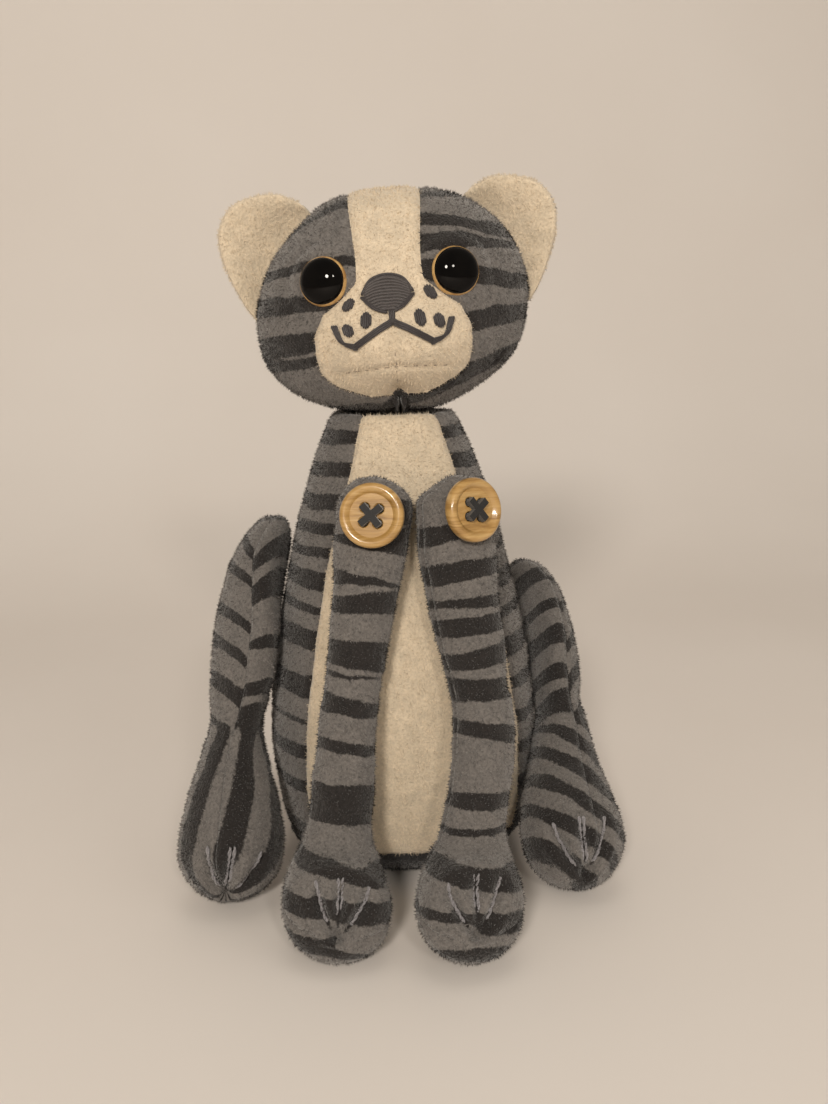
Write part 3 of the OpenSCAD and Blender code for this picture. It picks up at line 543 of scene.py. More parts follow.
# Each cloth's slot and material, and the light and dark fibres of its nap
CLOTHS = {
    "striped": ("striped_fleece", fleece("striped_fleece", GREY, DARK),
                (fibres("grey_fibre", GREY, (0.6, 0.95, 1.45)), DARK_NAP)),
    "cream": ("cream_fleece", CREAM_CLOTH, (CREAM_NAP, [])),
    "face": ("cream_fleece", CREAM_CLOTH, (CREAM_NAP, DARK_NAP)),
    "base": ("dark_fleece", fleece("dark_fleece", BASE),
             (fibres("base_fibre", BASE, (0.8, 1.3)), []))}
MAUVE = floss("mauve_thread", srgb(43, 37, 38))
NOSE_FLOSS = floss("nose_thread", srgb(61, 55, 54))
SILVER = floss("grey_thread", srgb(128, 125, 128))
BLACK = floss("black_thread", srgb(16, 15, 16), 0.6)
CREASE = floss("chin_thread", srgb(132, 116, 100))


# ---- Stripes and seams ----

def bands(height, points, pitch, seed, share=0.0, wander=0.35, fork=0.75):
    """Field of irregular dark bands that are pitch apart along height; above 0 is dark."""
    warp = noise(points, 24, seed)
    squeezed = points * np.array([1, 1, 2.6])
    return (np.sin(2 * math.pi * (height / pitch + wander * warp))
            + fork * noise(squeezed, 17, seed + 1) + 0.35 * noise(points, 5, seed + 2) + share)


def strokes(points, height, along, table, seed):
    """Field of separate dark stripes. Each is its height and width where along is 0, and its
    height and width where along is 1."""
    wavy = height + 0.55 * noise(points, 8, seed) + 0.3 * noise(points, 3, seed + 1)
    field = np.full(height.shape, -1.5)
    for h0, w0, h1, w1 in table:
        centre, half = h0 + (h1 - h0) * along, (w0 + (w1 - w0) * along) / 2
        field = np.maximum(field, (half - abs(wavy - centre)) / 1.1)
    return np.minimum(field, 1.5)


def blend(weight, first, second):
    return first * (1 - weight) + second * weight


def ease(x, low, high):
    """0 below low, 1 above high, smooth between."""
    t = np.clip((x - low) / (high - low), 0, 1)
    return t * t * (3 - 2 * t)


def near(x, centre, width):
    return np.exp(-((x - centre) / width) ** 2)


def lookup(x, table):
    """The value at x in a table of (x, value) pairs, with straight lines between them."""
    xs, ys = zip(*table)
    return np.interp(x, xs, ys)


def lumps(grid, amount, seed):
    """Small unevenness of hand stuffing."""
    return amount * (0.7 * noise(grid, 15, seed) + 0.3 * noise(grid, 6, seed + 1))


def gathers(grid, distance, seed, depth=0.55, reach=3.2):
    """A seam's groove and the small puckers beside it, by the distance from the seam."""
    ripple = noise(grid, 2.6, seed)
    return -depth * near(distance, 0, 0.95) + 0.16 * ripple * near(distance, 0, reach)


# ---- Torso ----

# Dark stripes on the torso's sides: height and width at the left, then at the right
BODY_STRIPES = ((26, 3.5, 22, 4), (35.5, 4, 32, 3.5), (44, 1.2, 41, 4), (53.5, 6, 50, 3.5),
                (66, 5, 60, 5), (73.5, 2, 69, 3), (80.5, 4.5, 77.5, 4.5), (87, 2.6, 86, 1.6),
                (92.5, 2.6, 94, 5), (98.5, 4.2, 103, 2.4), (106.5, 3.2, 110, 4.5),
                (114.5, 4.2, 117, 2.2), (12, 5, 11, 4))
# Height of the seam round the base, as a share of the torso's
BASE_SEAM = 0.068


def build_torso():
    rows = smooth_rows([(z * BODY_H, a * BODY_W / 2, f * BODY_D / 2, b * BODY_D / 2)
                        for z, a, f, b in TORSO], 76, [1, 1, 0.3, 0.3])
    rows[:, 0] = np.maximum(rows[:, 0], 0)
    # Columns of points across the belly, and across each side
    belly, side = 24, 36
    half = lookup(rows[:, 0] / BODY_H, BELLY)[:, None]
    across, round_side = np.arange(belly) / belly, np.arange(side) / side
    angle = np.radians(np.concatenate([(2 * across - 1) * half, half + round_side * (180 - half),
                                       180 + round_side * (180 - half)], 1))
    depth = np.where(np.cos(angle) > 0, rows[:, 2:3], rows[:, 3:4])
    grid = np.stack([rows[:, 1:2] * np.sin(angle) - BODY_LEAN * rows[:, :1],
                     -depth * np.cos(angle), rows[:, :1] + 0 * angle], 2)
    base_row = int(np.argmin(abs(rows[:, 0] - BASE_SEAM * BODY_H)))
    grid = finer(stuffed(grid, [base_row], [0, belly, belly + side]))
    base_row, belly, back, cols = (4 * i for i in (base_row, belly, belly + side, belly + 2 * side))
    step = lumps(grid, 0.55, 3)
    for col in (0, belly, back):
        step += gathers(grid, from_column(grid, col), col + 5) * (grid[:, :, 2] > 4)
    # The seam round the base gathers the sides, but not the underside
    underside = (np.arange(len(grid)) < base_row - 12)[:, None]
    away = abs(grid[:, :, 2] - grid[base_row, 0, 2]) + 9 * underside
    step += gathers(grid, away, 9, 0.7)
    # The front legs' buttons draw the chest in a little
    for sign in SIDES.values():
        spot = np.array([sign * BUTTON_X, -23.5, 97])
        step -= 0.4 * near(np.linalg.norm(grid - spot, axis=2), 0, 6)
    grid = grid + normals(grid) * step[:, :, None]
    grid[:, :, 2] = np.maximum(grid[:, :, 2], FLOOR_GAP)
    # The neck's edge rises a little towards the nape
    grid[:, :, 2] += (0.4 + 0.3 * ease(grid[:, :, 1], 2, 12)) * ease(grid[:, :, 2], 113, 119)
    middle = grid.mean(1, keepdims=True)
    x, y, z = np.moveaxis(grid, 2, 0)
    aside = np.clip((x + BODY_W / 2) / BODY_W, 0, 1)
    field = blend(ease(y, 4, 14), strokes(grid, z, aside, BODY_STRIPES, 23),
                  bands(z + 0.12 * abs(x), grid, 10.5, 21, -0.05))
    plain = np.full(field.shape, -1.0)
    top = len(grid) - 1
    for name, cloth, colours, r0, r1, c0, c1, fill, filling, lift in (
            ("belly_panel", "cream", plain, base_row, top, 0, belly, 0.8, ["body_stuffing"], 0),
            ("side_panel_right", "striped", field, base_row, top, belly, back, 0.8, [], 0),
            ("side_panel_left", "striped", field, base_row, top, back, cols, 0.8, [], 0),
            ("base_panel", "base", plain, 0, base_row, 0, cols, 0.6, [], 6)):
        take = np.arange(c0, c1 + 1) % cols
        panel(f"{name}_cloth", grid[r0:r1 + 1, take], colours[r0:r1 + 1, take], "torso", cloth,
              [name, *filling], middle[r0:r1 + 1] + [0, 0, lift])


# ---- Head ----

def head_radius(a, b):
    """Radius of the head at angle a over it, from the face to the top, and b to the side."""
    d = np.stack([np.sin(b), -np.cos(b) * np.cos(a), np.cos(b) * np.sin(a)], -1)
    base = ((abs(d) / np.array([HEAD_W, HEAD_D, HEAD_H]) * 2) ** HEAD_POWER).sum(-1)
    over = np.degrees((a + math.pi) % (2 * math.pi) - math.pi)
    muzzle = MUZZLE_OUT * np.exp(-((over + 22) / 22) ** 2 - (np.degrees(b) / 30) ** 2)
    cheek = CHEEK_OUT * 1.6 * d[..., 0] ** 2 * np.exp(-((d[..., 2] + 0.55) / 0.4) ** 2)
    return base ** (-1 / HEAD_POWER) + muzzle + cheek, d


# The finished face, for things that lie on it; build_head fills it in
face_surface = {}


def on_face(x, z, out=0.0):
    """Point at x across and z up that stands out from the face, in the head's own frame."""
    hit, normal = face_surface["tree"].ray_cast(Vector((x, -60, z)), Vector((0, 1, 0)))[:2]
    return np.array(hit + normal * (out if normal.y < 0 else -out))


# The eyes' angle over the head and their distance apart, and how far they look out and up
EYE_OVER, EYE_PITCH = 12.5, 31.0
EYE_OUT, EYE_UP = 15, 6
EYE_ASIDE = math.degrees(math.asin(EYE_PITCH / 2 / float(
    head_radius(np.radians(EYE_OVER), np.radians(35.0))[0])))


def eye_frame(side):
    r, d = head_radius(np.radians(EYE_OVER), np.radians(EYE_ASIDE))
    return (head_frame() @ mirrored(side) @ shift(*(d * r)) @ turn("Z", EYE_OUT)
            @ turn("X", 90 - EYE_UP))


# Dark stripes of the face: height and width at its middle, then at its side
FACE_STRIPES = {
    "left": ((24.8, 3, 17.5, 0.4), (9.2, 2, 8.3, 3), (-0.4, 2.6, 0.6, 4.8),
             (-7.2, 3.2, -9.6, 5.8), (-12.2, 1.6, -13.8, 3), (-25.2, 2.4, -26.5, 3)),
    "right": ((24, 1.4, 23.5, 1.6), (19, 2.6, 13.2, 3.2), (12.4, 6.4, 10.8, 1.2),
              (6.8, 5.2, 1.6, 3.8), (-8.5, 6, -5, 4), (-24.5, 3.4, -14.6, 5.2),
              (-27, 2.5, -29.5, 3))}


def chin_line(x):
    """Height of the crease above the chin, in the head's own frame."""
    return -15.6 - 0.004 * x**2


def build_head():
    # Rows of points over each side of the head, and over the gusset between them
    side, mid, around = 30, 24, 112
    a = np.radians(270 - 360 * np.arange(around) / around)
    over = np.degrees(a)
    g = lookup(np.where(over > 270, over - 360, over), GUSSET)
    s = np.linspace(0, 1, side + 1)[:, None]
    reach = np.sin(s * math.pi / 2) * 0.35 + s * 0.65
    b = np.radians(np.concatenate([-90 + reach * (90 - g),
                                   -g + np.linspace(0, 1, mid + 1)[1:, None] * 2 * g,
                                   g + (1 - reach[::-1][1:]) * (90 - g)]))
    r, d = head_radius(a[None, :] + 0 * b, b)
    grid = finer(stuffed(d * r[:, :, None], [side, side + mid]))
    left_seam, right_seam = 4 * side, 4 * (side + mid)
    x, y, z = np.moveaxis(grid, 2, 0)
    size = np.zeros(x.shape)
    size[1:-1] = np.linalg.norm(grid[2:] - grid[:-2], axis=2) / 2
    row = np.arange(len(grid))[:, None]
    step = lumps(grid, 0.5, 13)
    wide = np.interp(np.arange(4 * around) / 4, np.arange(around), ease(g, 3, 9), period=around)
    for seam in (left_seam, right_seam):
        step += gathers(grid, abs(row - seam) * size, seam) * wide
    # The muzzle's two lobes, the line under the nose, and the chin
    face = y < 0
    step -= 1.0 * near(x, 0, 1.5) * near(z, -10.5, 5.5) * face
    step += 0.8 * near(abs(x), 9, 6.5) * near(z, -12, 6.5) * face
    step -= 1.8 * near(x, 0, 2.8) * near(z, -22.5, 3.5) * face
    step -= 0.55 * near(z, chin_line(x), 0.8) * near(x, 0, 13) * face
    # The stuffing is slack at two opposite corners, as it is in sewing by hand
    slack = np.maximum(0, -x * z / 720)
    step -= 4.4 * slack / (1 + 0.4 * slack) * ease(abs(x), 6, 26)
    # Eye sockets
    for name in SIDES:
        eye = np.linalg.inv(head_frame()) @ eye_frame(name)
        over_plane = moved(grid, np.linalg.inv(eye))[:, :, 2]
        away = np.linalg.norm(grid - eye[:3, 3], axis=2)
        step -= (over_plane + 0.1) * (1 - ease(away, EYE_D / 2, EYE_D / 2 + 4.5))
    grid = grid + normals(grid) * step[:, :, None]
    left, right = (strokes(grid, z, np.clip(sign * x / 34, 0, 1), FACE_STRIPES[name], 44 + sign)
                   for name, sign in SIDES.items())
    field = blend(ease(y, 0, 9), np.where(x < 0, left, right),
                  bands(z + 0.55 * y + 3, grid, 11.0, 41, 0.0))
    # Under the chin the gusset is too narrow to show its cream
    plain = np.where((z < -24.0 + 1.5 * near(x, 0, 2.0)) & (y > -23), 1.0, -1.0)
    cols = grid.shape[1]
    quads = patch_faces(right_seam - left_seam + 1, cols) + left_seam * cols
    face_surface["tree"] = BVHTree.FromPolygons([Vector(p) for p in grid.reshape(-1, 3)],
                                                quads.tolist())
    middle = moved(grid.mean(1, keepdims=True), head_frame())
    grid = moved(grid, head_frame())
    take = np.arange(cols + 1) % cols
    for name, cloth, colours, r0, r1, filling, aside in (
            ("head_side_left", "striped", field, 0, left_seam, [], 6),
            ("face_gusset", "face", plain, left_seam, right_seam, ["head_stuffing"], 0),
            ("head_side_right", "striped", field, right_seam, len(grid) - 1, [], -6)):
        panel(f"{name}_cloth", grid[r0:r1 + 1, take], colours[r0:r1 + 1, take], "head", cloth,
              [name, *filling], middle[r0:r1 + 1] + [aside, 0, 0])


# ---- Ears ----

# The two ends of an ear's base line, across and up
EAR_BASE = ((17.0, 20.5), (31.5, -1.0))
# The ear's rim, across and up, from the top of its base line to the bottom
EAR_RIM = ((21.6, 26.2), (26.6, 28.4), (33.2, 28.4), (39.2, 26.2), (42.7, 20.8), (42.6, 14.2),
           (40.4, 7.6), (37.6, 1.6), (34.9, -2.4))


def build_ear(name):
    u = np.linspace(0, 1, 57)
    v = np.linspace(0, 1, 40)[:, None]
    rim = smooth_rows(EAR_RIM, len(u), [1, 1])
    matrix = head_frame() @ mirrored(name)
    # The front is rolled over the rim, and covers the back's edge
    flat = 0.8
    roll = np.radians(150) * np.clip((v - flat) / (1 - flat), 0, 1)
    front_reach = np.where(v < flat, 0.9 * v / flat, 0.9 + 0.075 * np.sin(roll))
    front_y = -(0.2 + 2.6 * ease(front_reach, 0.3, 0.82)) * np.cos(roll)
    # One ear is turned so that its back shows along the rim
    back_reach = (0.925 if name == "left" else 0.99) * v
    for part, cloth, out, reach, y in (("ear_front", "cream", -1, front_reach, front_y),
                                       ("ear_back", "striped", 1, back_reach, 1.5 - 0.4 * v**4)):
        x, z = ((EAR_BASE[0][i] * (1 - u) + EAR_BASE[1][i] * u) * (1 - reach) + rim[:, i] * reach
                for i in (0, 1))
        cup = 1.5 + 3 * np.sin(math.pi * u) * (1 - reach**2)
        slim = 1 - 0.75 * ease(u, 0.72, 1.0) - 0.45 * (1 - ease(u, 0.0, 0.12))
        grid = np.stack([x, cup + y * slim, z], 2)
        grid[:, :, 1] += out * lumps(grid, 0.45, 51)
        field = bands(grid[:, :, 2], grid, 10, 61, 0.15) if out > 0 else 0 * x - 1
        inside = np.stack([x, cup + 0 * x, z], 2) * [0.93, 1, 0.93] + [2.2, 0, 0.9]
        panel(f"{part}_{name}_cloth", moved(grid, matrix), field, "head", cloth,
              [f"{part}_{name}"], moved(inside, matrix))


# ---- Limbs ----

def limb_grid(rows, count, cols, button_turn):
    r = smooth_rows(rows, count, [1, 1, 1, 0, 0.7, 0.7, 0])
    r[:, 4:6] = np.maximum(r[:, 4:6], 0.02)
    angle = np.radians(360 * np.arange(cols) / cols)[None, :]
    pitch, spin = np.radians(r[:, 3:4]), np.radians(r[:, 6:7] * button_turn)
    x = r[:, 4:5] * np.sin(angle)
    y = -r[:, 5:6] * np.cos(angle) * np.cos(pitch)
    z = r[:, 5:6] * np.cos(angle) * np.sin(pitch)
    return np.stack([r[:, 0:1] + x * np.cos(spin) - y * np.sin(spin),
                     r[:, 1:2] + x * np.sin(spin) + y * np.cos(spin), r[:, 2:3] + z], 2)


def over_paw(grid):
    """Distance of each row from the limb's lower tip, measured over the cloth."""
    steps = np.linalg.norm(np.diff(grid, axis=0), axis=2).mean(1)
    return np.r_[np.cumsum(steps[::-1])[::-1], 0][:, None]


def torso_half(y, z):
    """Half width of the torso at y and z."""
    h, w, front, rear = np.array(TORSO[TORSO_SIDES]).T
    depth = np.where(y < 0, np.interp(z / BODY_H, h, front), np.interp(z / BODY_H, h, rear))
    across = np.clip(1 - (y / (depth * BODY_D / 2)) ** 2, 0, 1)
    return BODY_W / 2 * np.interp(z / BODY_H, h, w) * np.sqrt(across)


def hug(points, middle):
    """How far a thigh's front bends inwards, round the torso's side."""
    y, z = points[:, :, 1], points[:, :, 2]
    start = middle[:, :, 1]
    bend = torso_half(start + 0 * y, z) - torso_half(np.minimum(y, start), z)
    amount = np.clip(0.75 * bend, 0, 3.5) * ease(z, 36, 56)
    return -np.sign(points[:, :, 0]) * amount


TOE_ANGLES = (-35, 0, 30)
# How far each front leg's shoulder spreads, how far its back sinks towards the chest, and how
# far each hind foot lies inwards
SHOULDER = {"left": 1.4, "right": 3.2}
SHOULDER_BACK = 1.8
FOOT_IN = {"left": 0.0, "right": 1.8}


def build_limb(kind, side, key, matrix, rows, halves, field_at, toes, button_turn=0.0):
    """A stuffed leg with its toes' stitches, toes long. halves names its two panels, each with
    the angle at which it starts; each goes half way round."""
    body, sign, cols = f"{kind}_leg_{side}", SIDES[side], 40
    seams = sorted(start % 360 for start in halves.values())
    grid = finer(stuffed(limb_grid(rows, 64, cols, button_turn), (),
                         [int(seam / 360 * cols) for seam in seams], 0.6))
    cols *= 4
    s = lengths(grid.mean(1))[:, None]
    step = lumps(grid, 0.45, key)
    for seam in seams:
        col = int(seam / 360 * cols)
        step += gathers(grid, from_column(grid, col), key + col, 0.5)
    from_tip = over_paw(grid)
    step *= ease(from_tip, 0.4, 3.0)
    # The toes' stitches draw the paw in between them
    crease = near(from_tip, toes * 0.45, toes * 0.42)
    # Shade for the creases along the toes' stitches, painted into the field below
    shade = np.zeros(step.shape)
    for angle in TOE_ANGLES:
        away = from_column(grid, angle / 360 * cols % cols)
        step += (0.7 * near(away, 3.2, 1.6) - 2.2 * near(away, 0, 1.2)) * crease
        shade = np.maximum(shade, near(away, 0, 0.75) * crease)
    # Creases round the ankle
    folds = np.maximum(0, noise(grid * [0.5, 0.5, 2.0], 7, key + 9))
    step -= 0.35 * folds * near(s, s[-1] * 0.7, s[-1] * 0.16)
    grid = grid + normals(grid) * step[:, :, None]
    # Painted shade: the field is made dark along the toes' stitches, for the shadow in their creases
    angle = np.radians(360 * np.arange(cols) / cols)[None, :] + 0 * step
    field = np.maximum(field_at(grid, angle), 1.4 * shade - 0.9)
    middle = moved(grid.mean(1, keepdims=True), matrix)
    world = moved(grid, matrix)
    drop = middle[0, 0, 2] - world[:, :, 2]
    if kind == "hind":
        world[:, :, 0] += hug(world, middle)
        world[:, :, 0] -= FOOT_IN[side] * ease(drop, 20, 50)
    else:
        inner = ease(-sign * (world[:, :, 0] - middle[:, :, 0]), -4, 7)
        spread = inner * ease(drop, 0, 5) * (1 - ease(drop, 26, 58))
        world[:, :, 0] -= sign * SHOULDER[side] * spread
        behind = ease(world[:, :, 1] - middle[:, :, 1], -1, 5)
        world[:, :, 1] += SHOULDER_BACK * behind * near(drop, 9, 9)
    world[:, :, 2] = np.maximum(world[:, :, 2], FLOOR_GAP)
    for half, start in halves.items():
        c0 = int(start / 360 * cols)
        take = np.arange(c0, c0 + cols // 2 + 1) % cols
        nodes = [f"{kind}_leg_{half}_{side}"]
        if half in ("front", "outer"):
            nodes.append(f"{kind}_leg_stuffing_{side}")
        panel(f"{nodes[0]}_cloth", world[:, take], field[:, take], body, "striped", nodes,
              middle)
    toe_stitches(kind, side, world, toes)


# ---- Thread ----

TUBE_SIDES = 8
# Distance between a thread's rings of points
THREAD_STEP = 0.35


def square_to(path):
    """Two directions square to a path and to each other, at each of its points."""
    way = unit(np.gradient(path, axis=0))
    one = unit(np.cross(way, [0.31, 0.2, 0.93]))
    return one, np.cross(way, one)


def tube(path, radius):
    """Points and faces of a closed tube along a path, a little thinner at its ends."""
    one, two = square_to(path)
    r = np.full((len(path), 1, 1), radius)
    r[0] = r[-1] = radius * 0.45
    angle = (2 * math.pi * np.arange(TUBE_SIDES) / TUBE_SIDES)[:, None]
    points = path[:, None] + (np.cos(angle) * one[:, None] + np.sin(angle) * two[:, None]) * r
    last = (len(path) - 1) * TUBE_SIDES
    ends = [tuple(range(TUBE_SIDES))[::-1], tuple(range(last, last + TUBE_SIDES))]
    return points.reshape(-1, 3), ring_faces(len(path), TUBE_SIDES) + ends


def threads(name, paths, body, slot, material, nodes, radius, strands=1, twist=0.0):
    """One piece from several paths; each path is laid strands times, twisted together."""
    points, faces, total = [], [], 0
    for path in paths:
        length = lengths(path)
        at = np.linspace(0, length[-1], max(6, int(length[-1] / THREAD_STEP)))
        fine = np.stack([np.interp(at, length, path[:, i]) for i in range(3)], 1)
        one, two = square_to(fine)
        apart = radius * 0.8 if strands > 1 else 0.0
        for k in range(strands):
            spin = (2 * math.pi * k / strands + at * twist)[:, None]
            p, f = tube(fine + (np.cos(spin) * one + np.sin(spin) * two) * apart, radius)
            points.append(p)
            faces += [tuple(i + total for i in q) for q in f]
            total += len(p)
    solid(name, np.concatenate(points), faces, body, slot, material, nodes)


def toe_stitches(kind, side, world, toes):
    cols = world.shape[1]
    from_tip = over_paw(world)[:, 0]
    rows = np.nonzero((from_tip > toes * 0.06) & (from_tip < toes))[0]
    share = (from_tip[rows] - toes / 2) / toes
    paths = []
    for angle in TOE_ANGLES:
        lean = -angle / 44 * 5
        col = np.round((angle + lean * share * 2) / 360 * cols).astype(int) % cols
        on_cloth = world[rows, col]
        out = unit(on_cloth - world.mean(1)[rows])
        for lane in ((-0.55, 0.55) if angle == 0 else (0.0,)):
            paths.append(smooth_rows((on_cloth + out * 0.9 + [lane, 0, 0])[::6], 40, [1, 1, 1]))
    node = f"{kind}_toe_stitches_{side}"
    threads(f"{node}_floss", paths, f"{kind}_leg_{side}", "grey_thread", SILVER, [node], 0.27, 2,
            1.6)


def face_path(points, out=0.25, steps=10):
    """A path on the face through places given as (across, up), bowed smoothly."""
    p = smooth_rows(np.array(points, float), steps * (len(points) - 1) + 1, [1, 1])
    return moved(np.array([on_face(x, z, out) for x, z in p]), head_frame())


# Whisker spots: across, up, lean and half height
WHISKER_SPOTS = ((-9.8, -0.9, 0.5, 1.5), (-6.0, -4.7, 0.1, 1.9), (-10.3, -6.6, -0.25, 1.5),
                 (9.1, 0.6, -0.45, 1.7), (6.3, -5.0, -0.15, 2.0), (10.6, -5.9, -0.15, 1.7))


def build_mouth():
    """Strands side by side along each straight arm, then along its upturned end."""
    paths = []
    for off in (-0.46, 0.0, 0.46):
        paths.append(face_path([(off, -2.6), (off * 0.8, -6.2)], 0.5, 6))
        for s in (-1, 1):
            paths.append(face_path([(0.1 * s, -5.3 + off), (s * 4.6, -7.8 + off),
                                    (s * 9.2, -10.5 + off)], 0.5))
            paths.append(face_path([(s * (8.5 + off * 0.4), -10.5 + off),
                                    (s * (11.6 + off * 0.8), -9.3 + off * 0.5),
                                    (s * (13.5 + off), -5.2)], 0.5))
    threads("mouth_stitches", paths, "head", "mauve_thread", MAUVE, ["mouth_embroidery"], 0.36)


def build_whisker_spots():
    paths = []
    for x, z, lean, tall in WHISKER_SPOTS:
        for k in (-2, -1, 0, 1, 2):
            reach = tall * (1 - 0.09 * k * k)
            cx = x + k * 0.48
            paths.append(face_path([(cx - lean * reach, z - reach), (cx, z),
                                    (cx + lean * reach, z + reach)], 0.42 - 0.07 * abs(k), 6))
    threads("whisker_spot_stitches", paths, "head", "mauve_thread", MAUVE, ["whisker_spots"],
            0.33)


def build_nose():
    """Rows of satin stitches that bow upwards, inside an outline."""
    x0, z0, w, h = -0.7, 0.8, 5.8, 3.7
    fan, edge = [], []
    for share in np.linspace(-1.12, 0.8, 11):
        bow = 0.3 + 1.5 * max(0, share + 0.8)
        half = w * (0.95 - 0.52 * max(0, -share) ** 1.3 - 0.14 * max(0, share) ** 2)
        rise = {0: 0.85 * h * share + bow * 0.42, 1: 0.8 * h * share + bow * 0.3,
                2: 0.75 * h * share - 0.5}
        fan.append(face_path([(x0 + half * k / 2, z0 + rise[abs(k)]) for k in range(-2, 3)],
                             0.5, 6))
    threads("nose_satin", fan, "head", "mauve_thread", NOSE_FLOSS, ["nose_embroidery"], 0.39)
    for off in (0.0, 0.5):
        for s in (-1, 1):
            edge.append(face_path([(x0 + 0.3 * s, z0 - h - off),
                                   (x0 + s * w * 0.55, z0 - h * 0.72 - off),
                                   (x0 + s * (w * 1.02 + off * 0.4), z0 - 0.2)], 0.5, 8))
        edge.append(face_path([(x0 - w * 1.03, z0 + 0.2), (x0 - w * 0.62, z0 + h * 0.82 + off),
                               (x0, z0 + h * 1.08 + off), (x0 + w * 0.62, z0 + h * 0.82 + off),
                               (x0 + w * 1.03, z0 + 0.2)], 0.35, 8))
    threads("nose_outline", edge, "head", "mauve_thread", MAUVE, [], 0.34)


def build_chin():
    """Tiny dark running stitches along the chin's crease and its middle."""
    tiny = [face_path([(x - 0.5, chin_line(x)), (x + 0.5, chin_line(x))], 0.02, 3)
            for x in np.arange(-11.5, 12, 2.3)]
    tiny += [face_path([(0, z - 0.5), (0, z + 0.4)], 0.0, 3) for z in np.arange(-21, -11.5, 2.1)]
    threads("chin_seam_stitches", tiny, "head", "mauve_thread", CREASE, [], 0.12)


# ---- Eyes ----

def lathe(profile, matrix, sides):
    """Points and faces of a closed solid turned about Z; the profile starts and ends on it."""
    profile = np.array(profile, float)
    angle = 2 * math.pi * np.arange(sides) / sides
    rings = np.stack([profile[:, :1] * np.cos(angle), profile[:, :1] * np.sin(angle),
                      profile[:, 1:] + 0 * angle], 2)
    return moved(rings.reshape(-1, 3), matrix), ring_faces(len(profile), sides)


def build_eye(name, black, amber):
    # The pile closes over the rim, so a little less than the whole eye shows
    r = 0.96 * EYE_D / 2
    big = r * 0.925
    t = np.linspace(0, math.pi / 2, 14)
    # Amber ring: a low dome whose edge shows round the pupil, which is a taller dark dome
    ring = [(0.01, -1.8), (r * 0.86, -1.8), (r * 0.97, -1.2), (r, -0.6), (r * 0.99, -0.1)]
    ring += [(r * 0.975 * math.cos(x), 1.9 * math.sin(x)) for x in t[1:-1]] + [(0.01, 1.9)]
    dome = [(0.01, -0.1), (big, 0.0)]
    dome += [(big * math.cos(x), 0.4 + 2.8 * math.sin(x)) for x in t[:-1]] + [(0.01, 3.2)]
    for part, profile, look, nodes in (("amber", ring, amber, [f"eye_{name}"]),
                                       ("pupil", dome, black, [])):
        solid(f"eye_{name}_{part}", *lathe(profile, eye_frame(name), 64), "head", "eye_plastic",
              look, nodes)


# ---- Buttons ----

def wood_material():
    """Lacquered wood, whose grain is a speckle stretched across the button."""
    m, tree, shader = new_material("lacquered_wood", Roughness=0.35, Coat_Weight=0.8,
                                   Coat_Roughness=0.12)
    stretch = add(tree, "ShaderNodeMapping", [(place(tree), "Vector")], Scale=(90, 90, 900),
                  Rotation=(0.35, 0.2, 0.1))
    grain = add(tree, "ShaderNodeTexNoise", [(stretch.outputs[0], "Vector")], Scale=1.0,
                Detail=4.0, Roughness=0.6, Distortion=0.6).outputs["Fac"]
    colour = ramp(tree, grain, [(0.32, srgb(142, 106, 54)), (0.48, srgb(174, 136, 78)),
                                (0.68, srgb(194, 160, 104))])
    tree.links.new(colour, shader.inputs["Base Color"])
    bump(tree, shader, grain, 0.00012, 0.4)
    return m


# The button's four holes lie at this distance across and up from its middle
HOLE_AT = 3.3 / 2
# Depth of the button's dish
DISH = 0.85


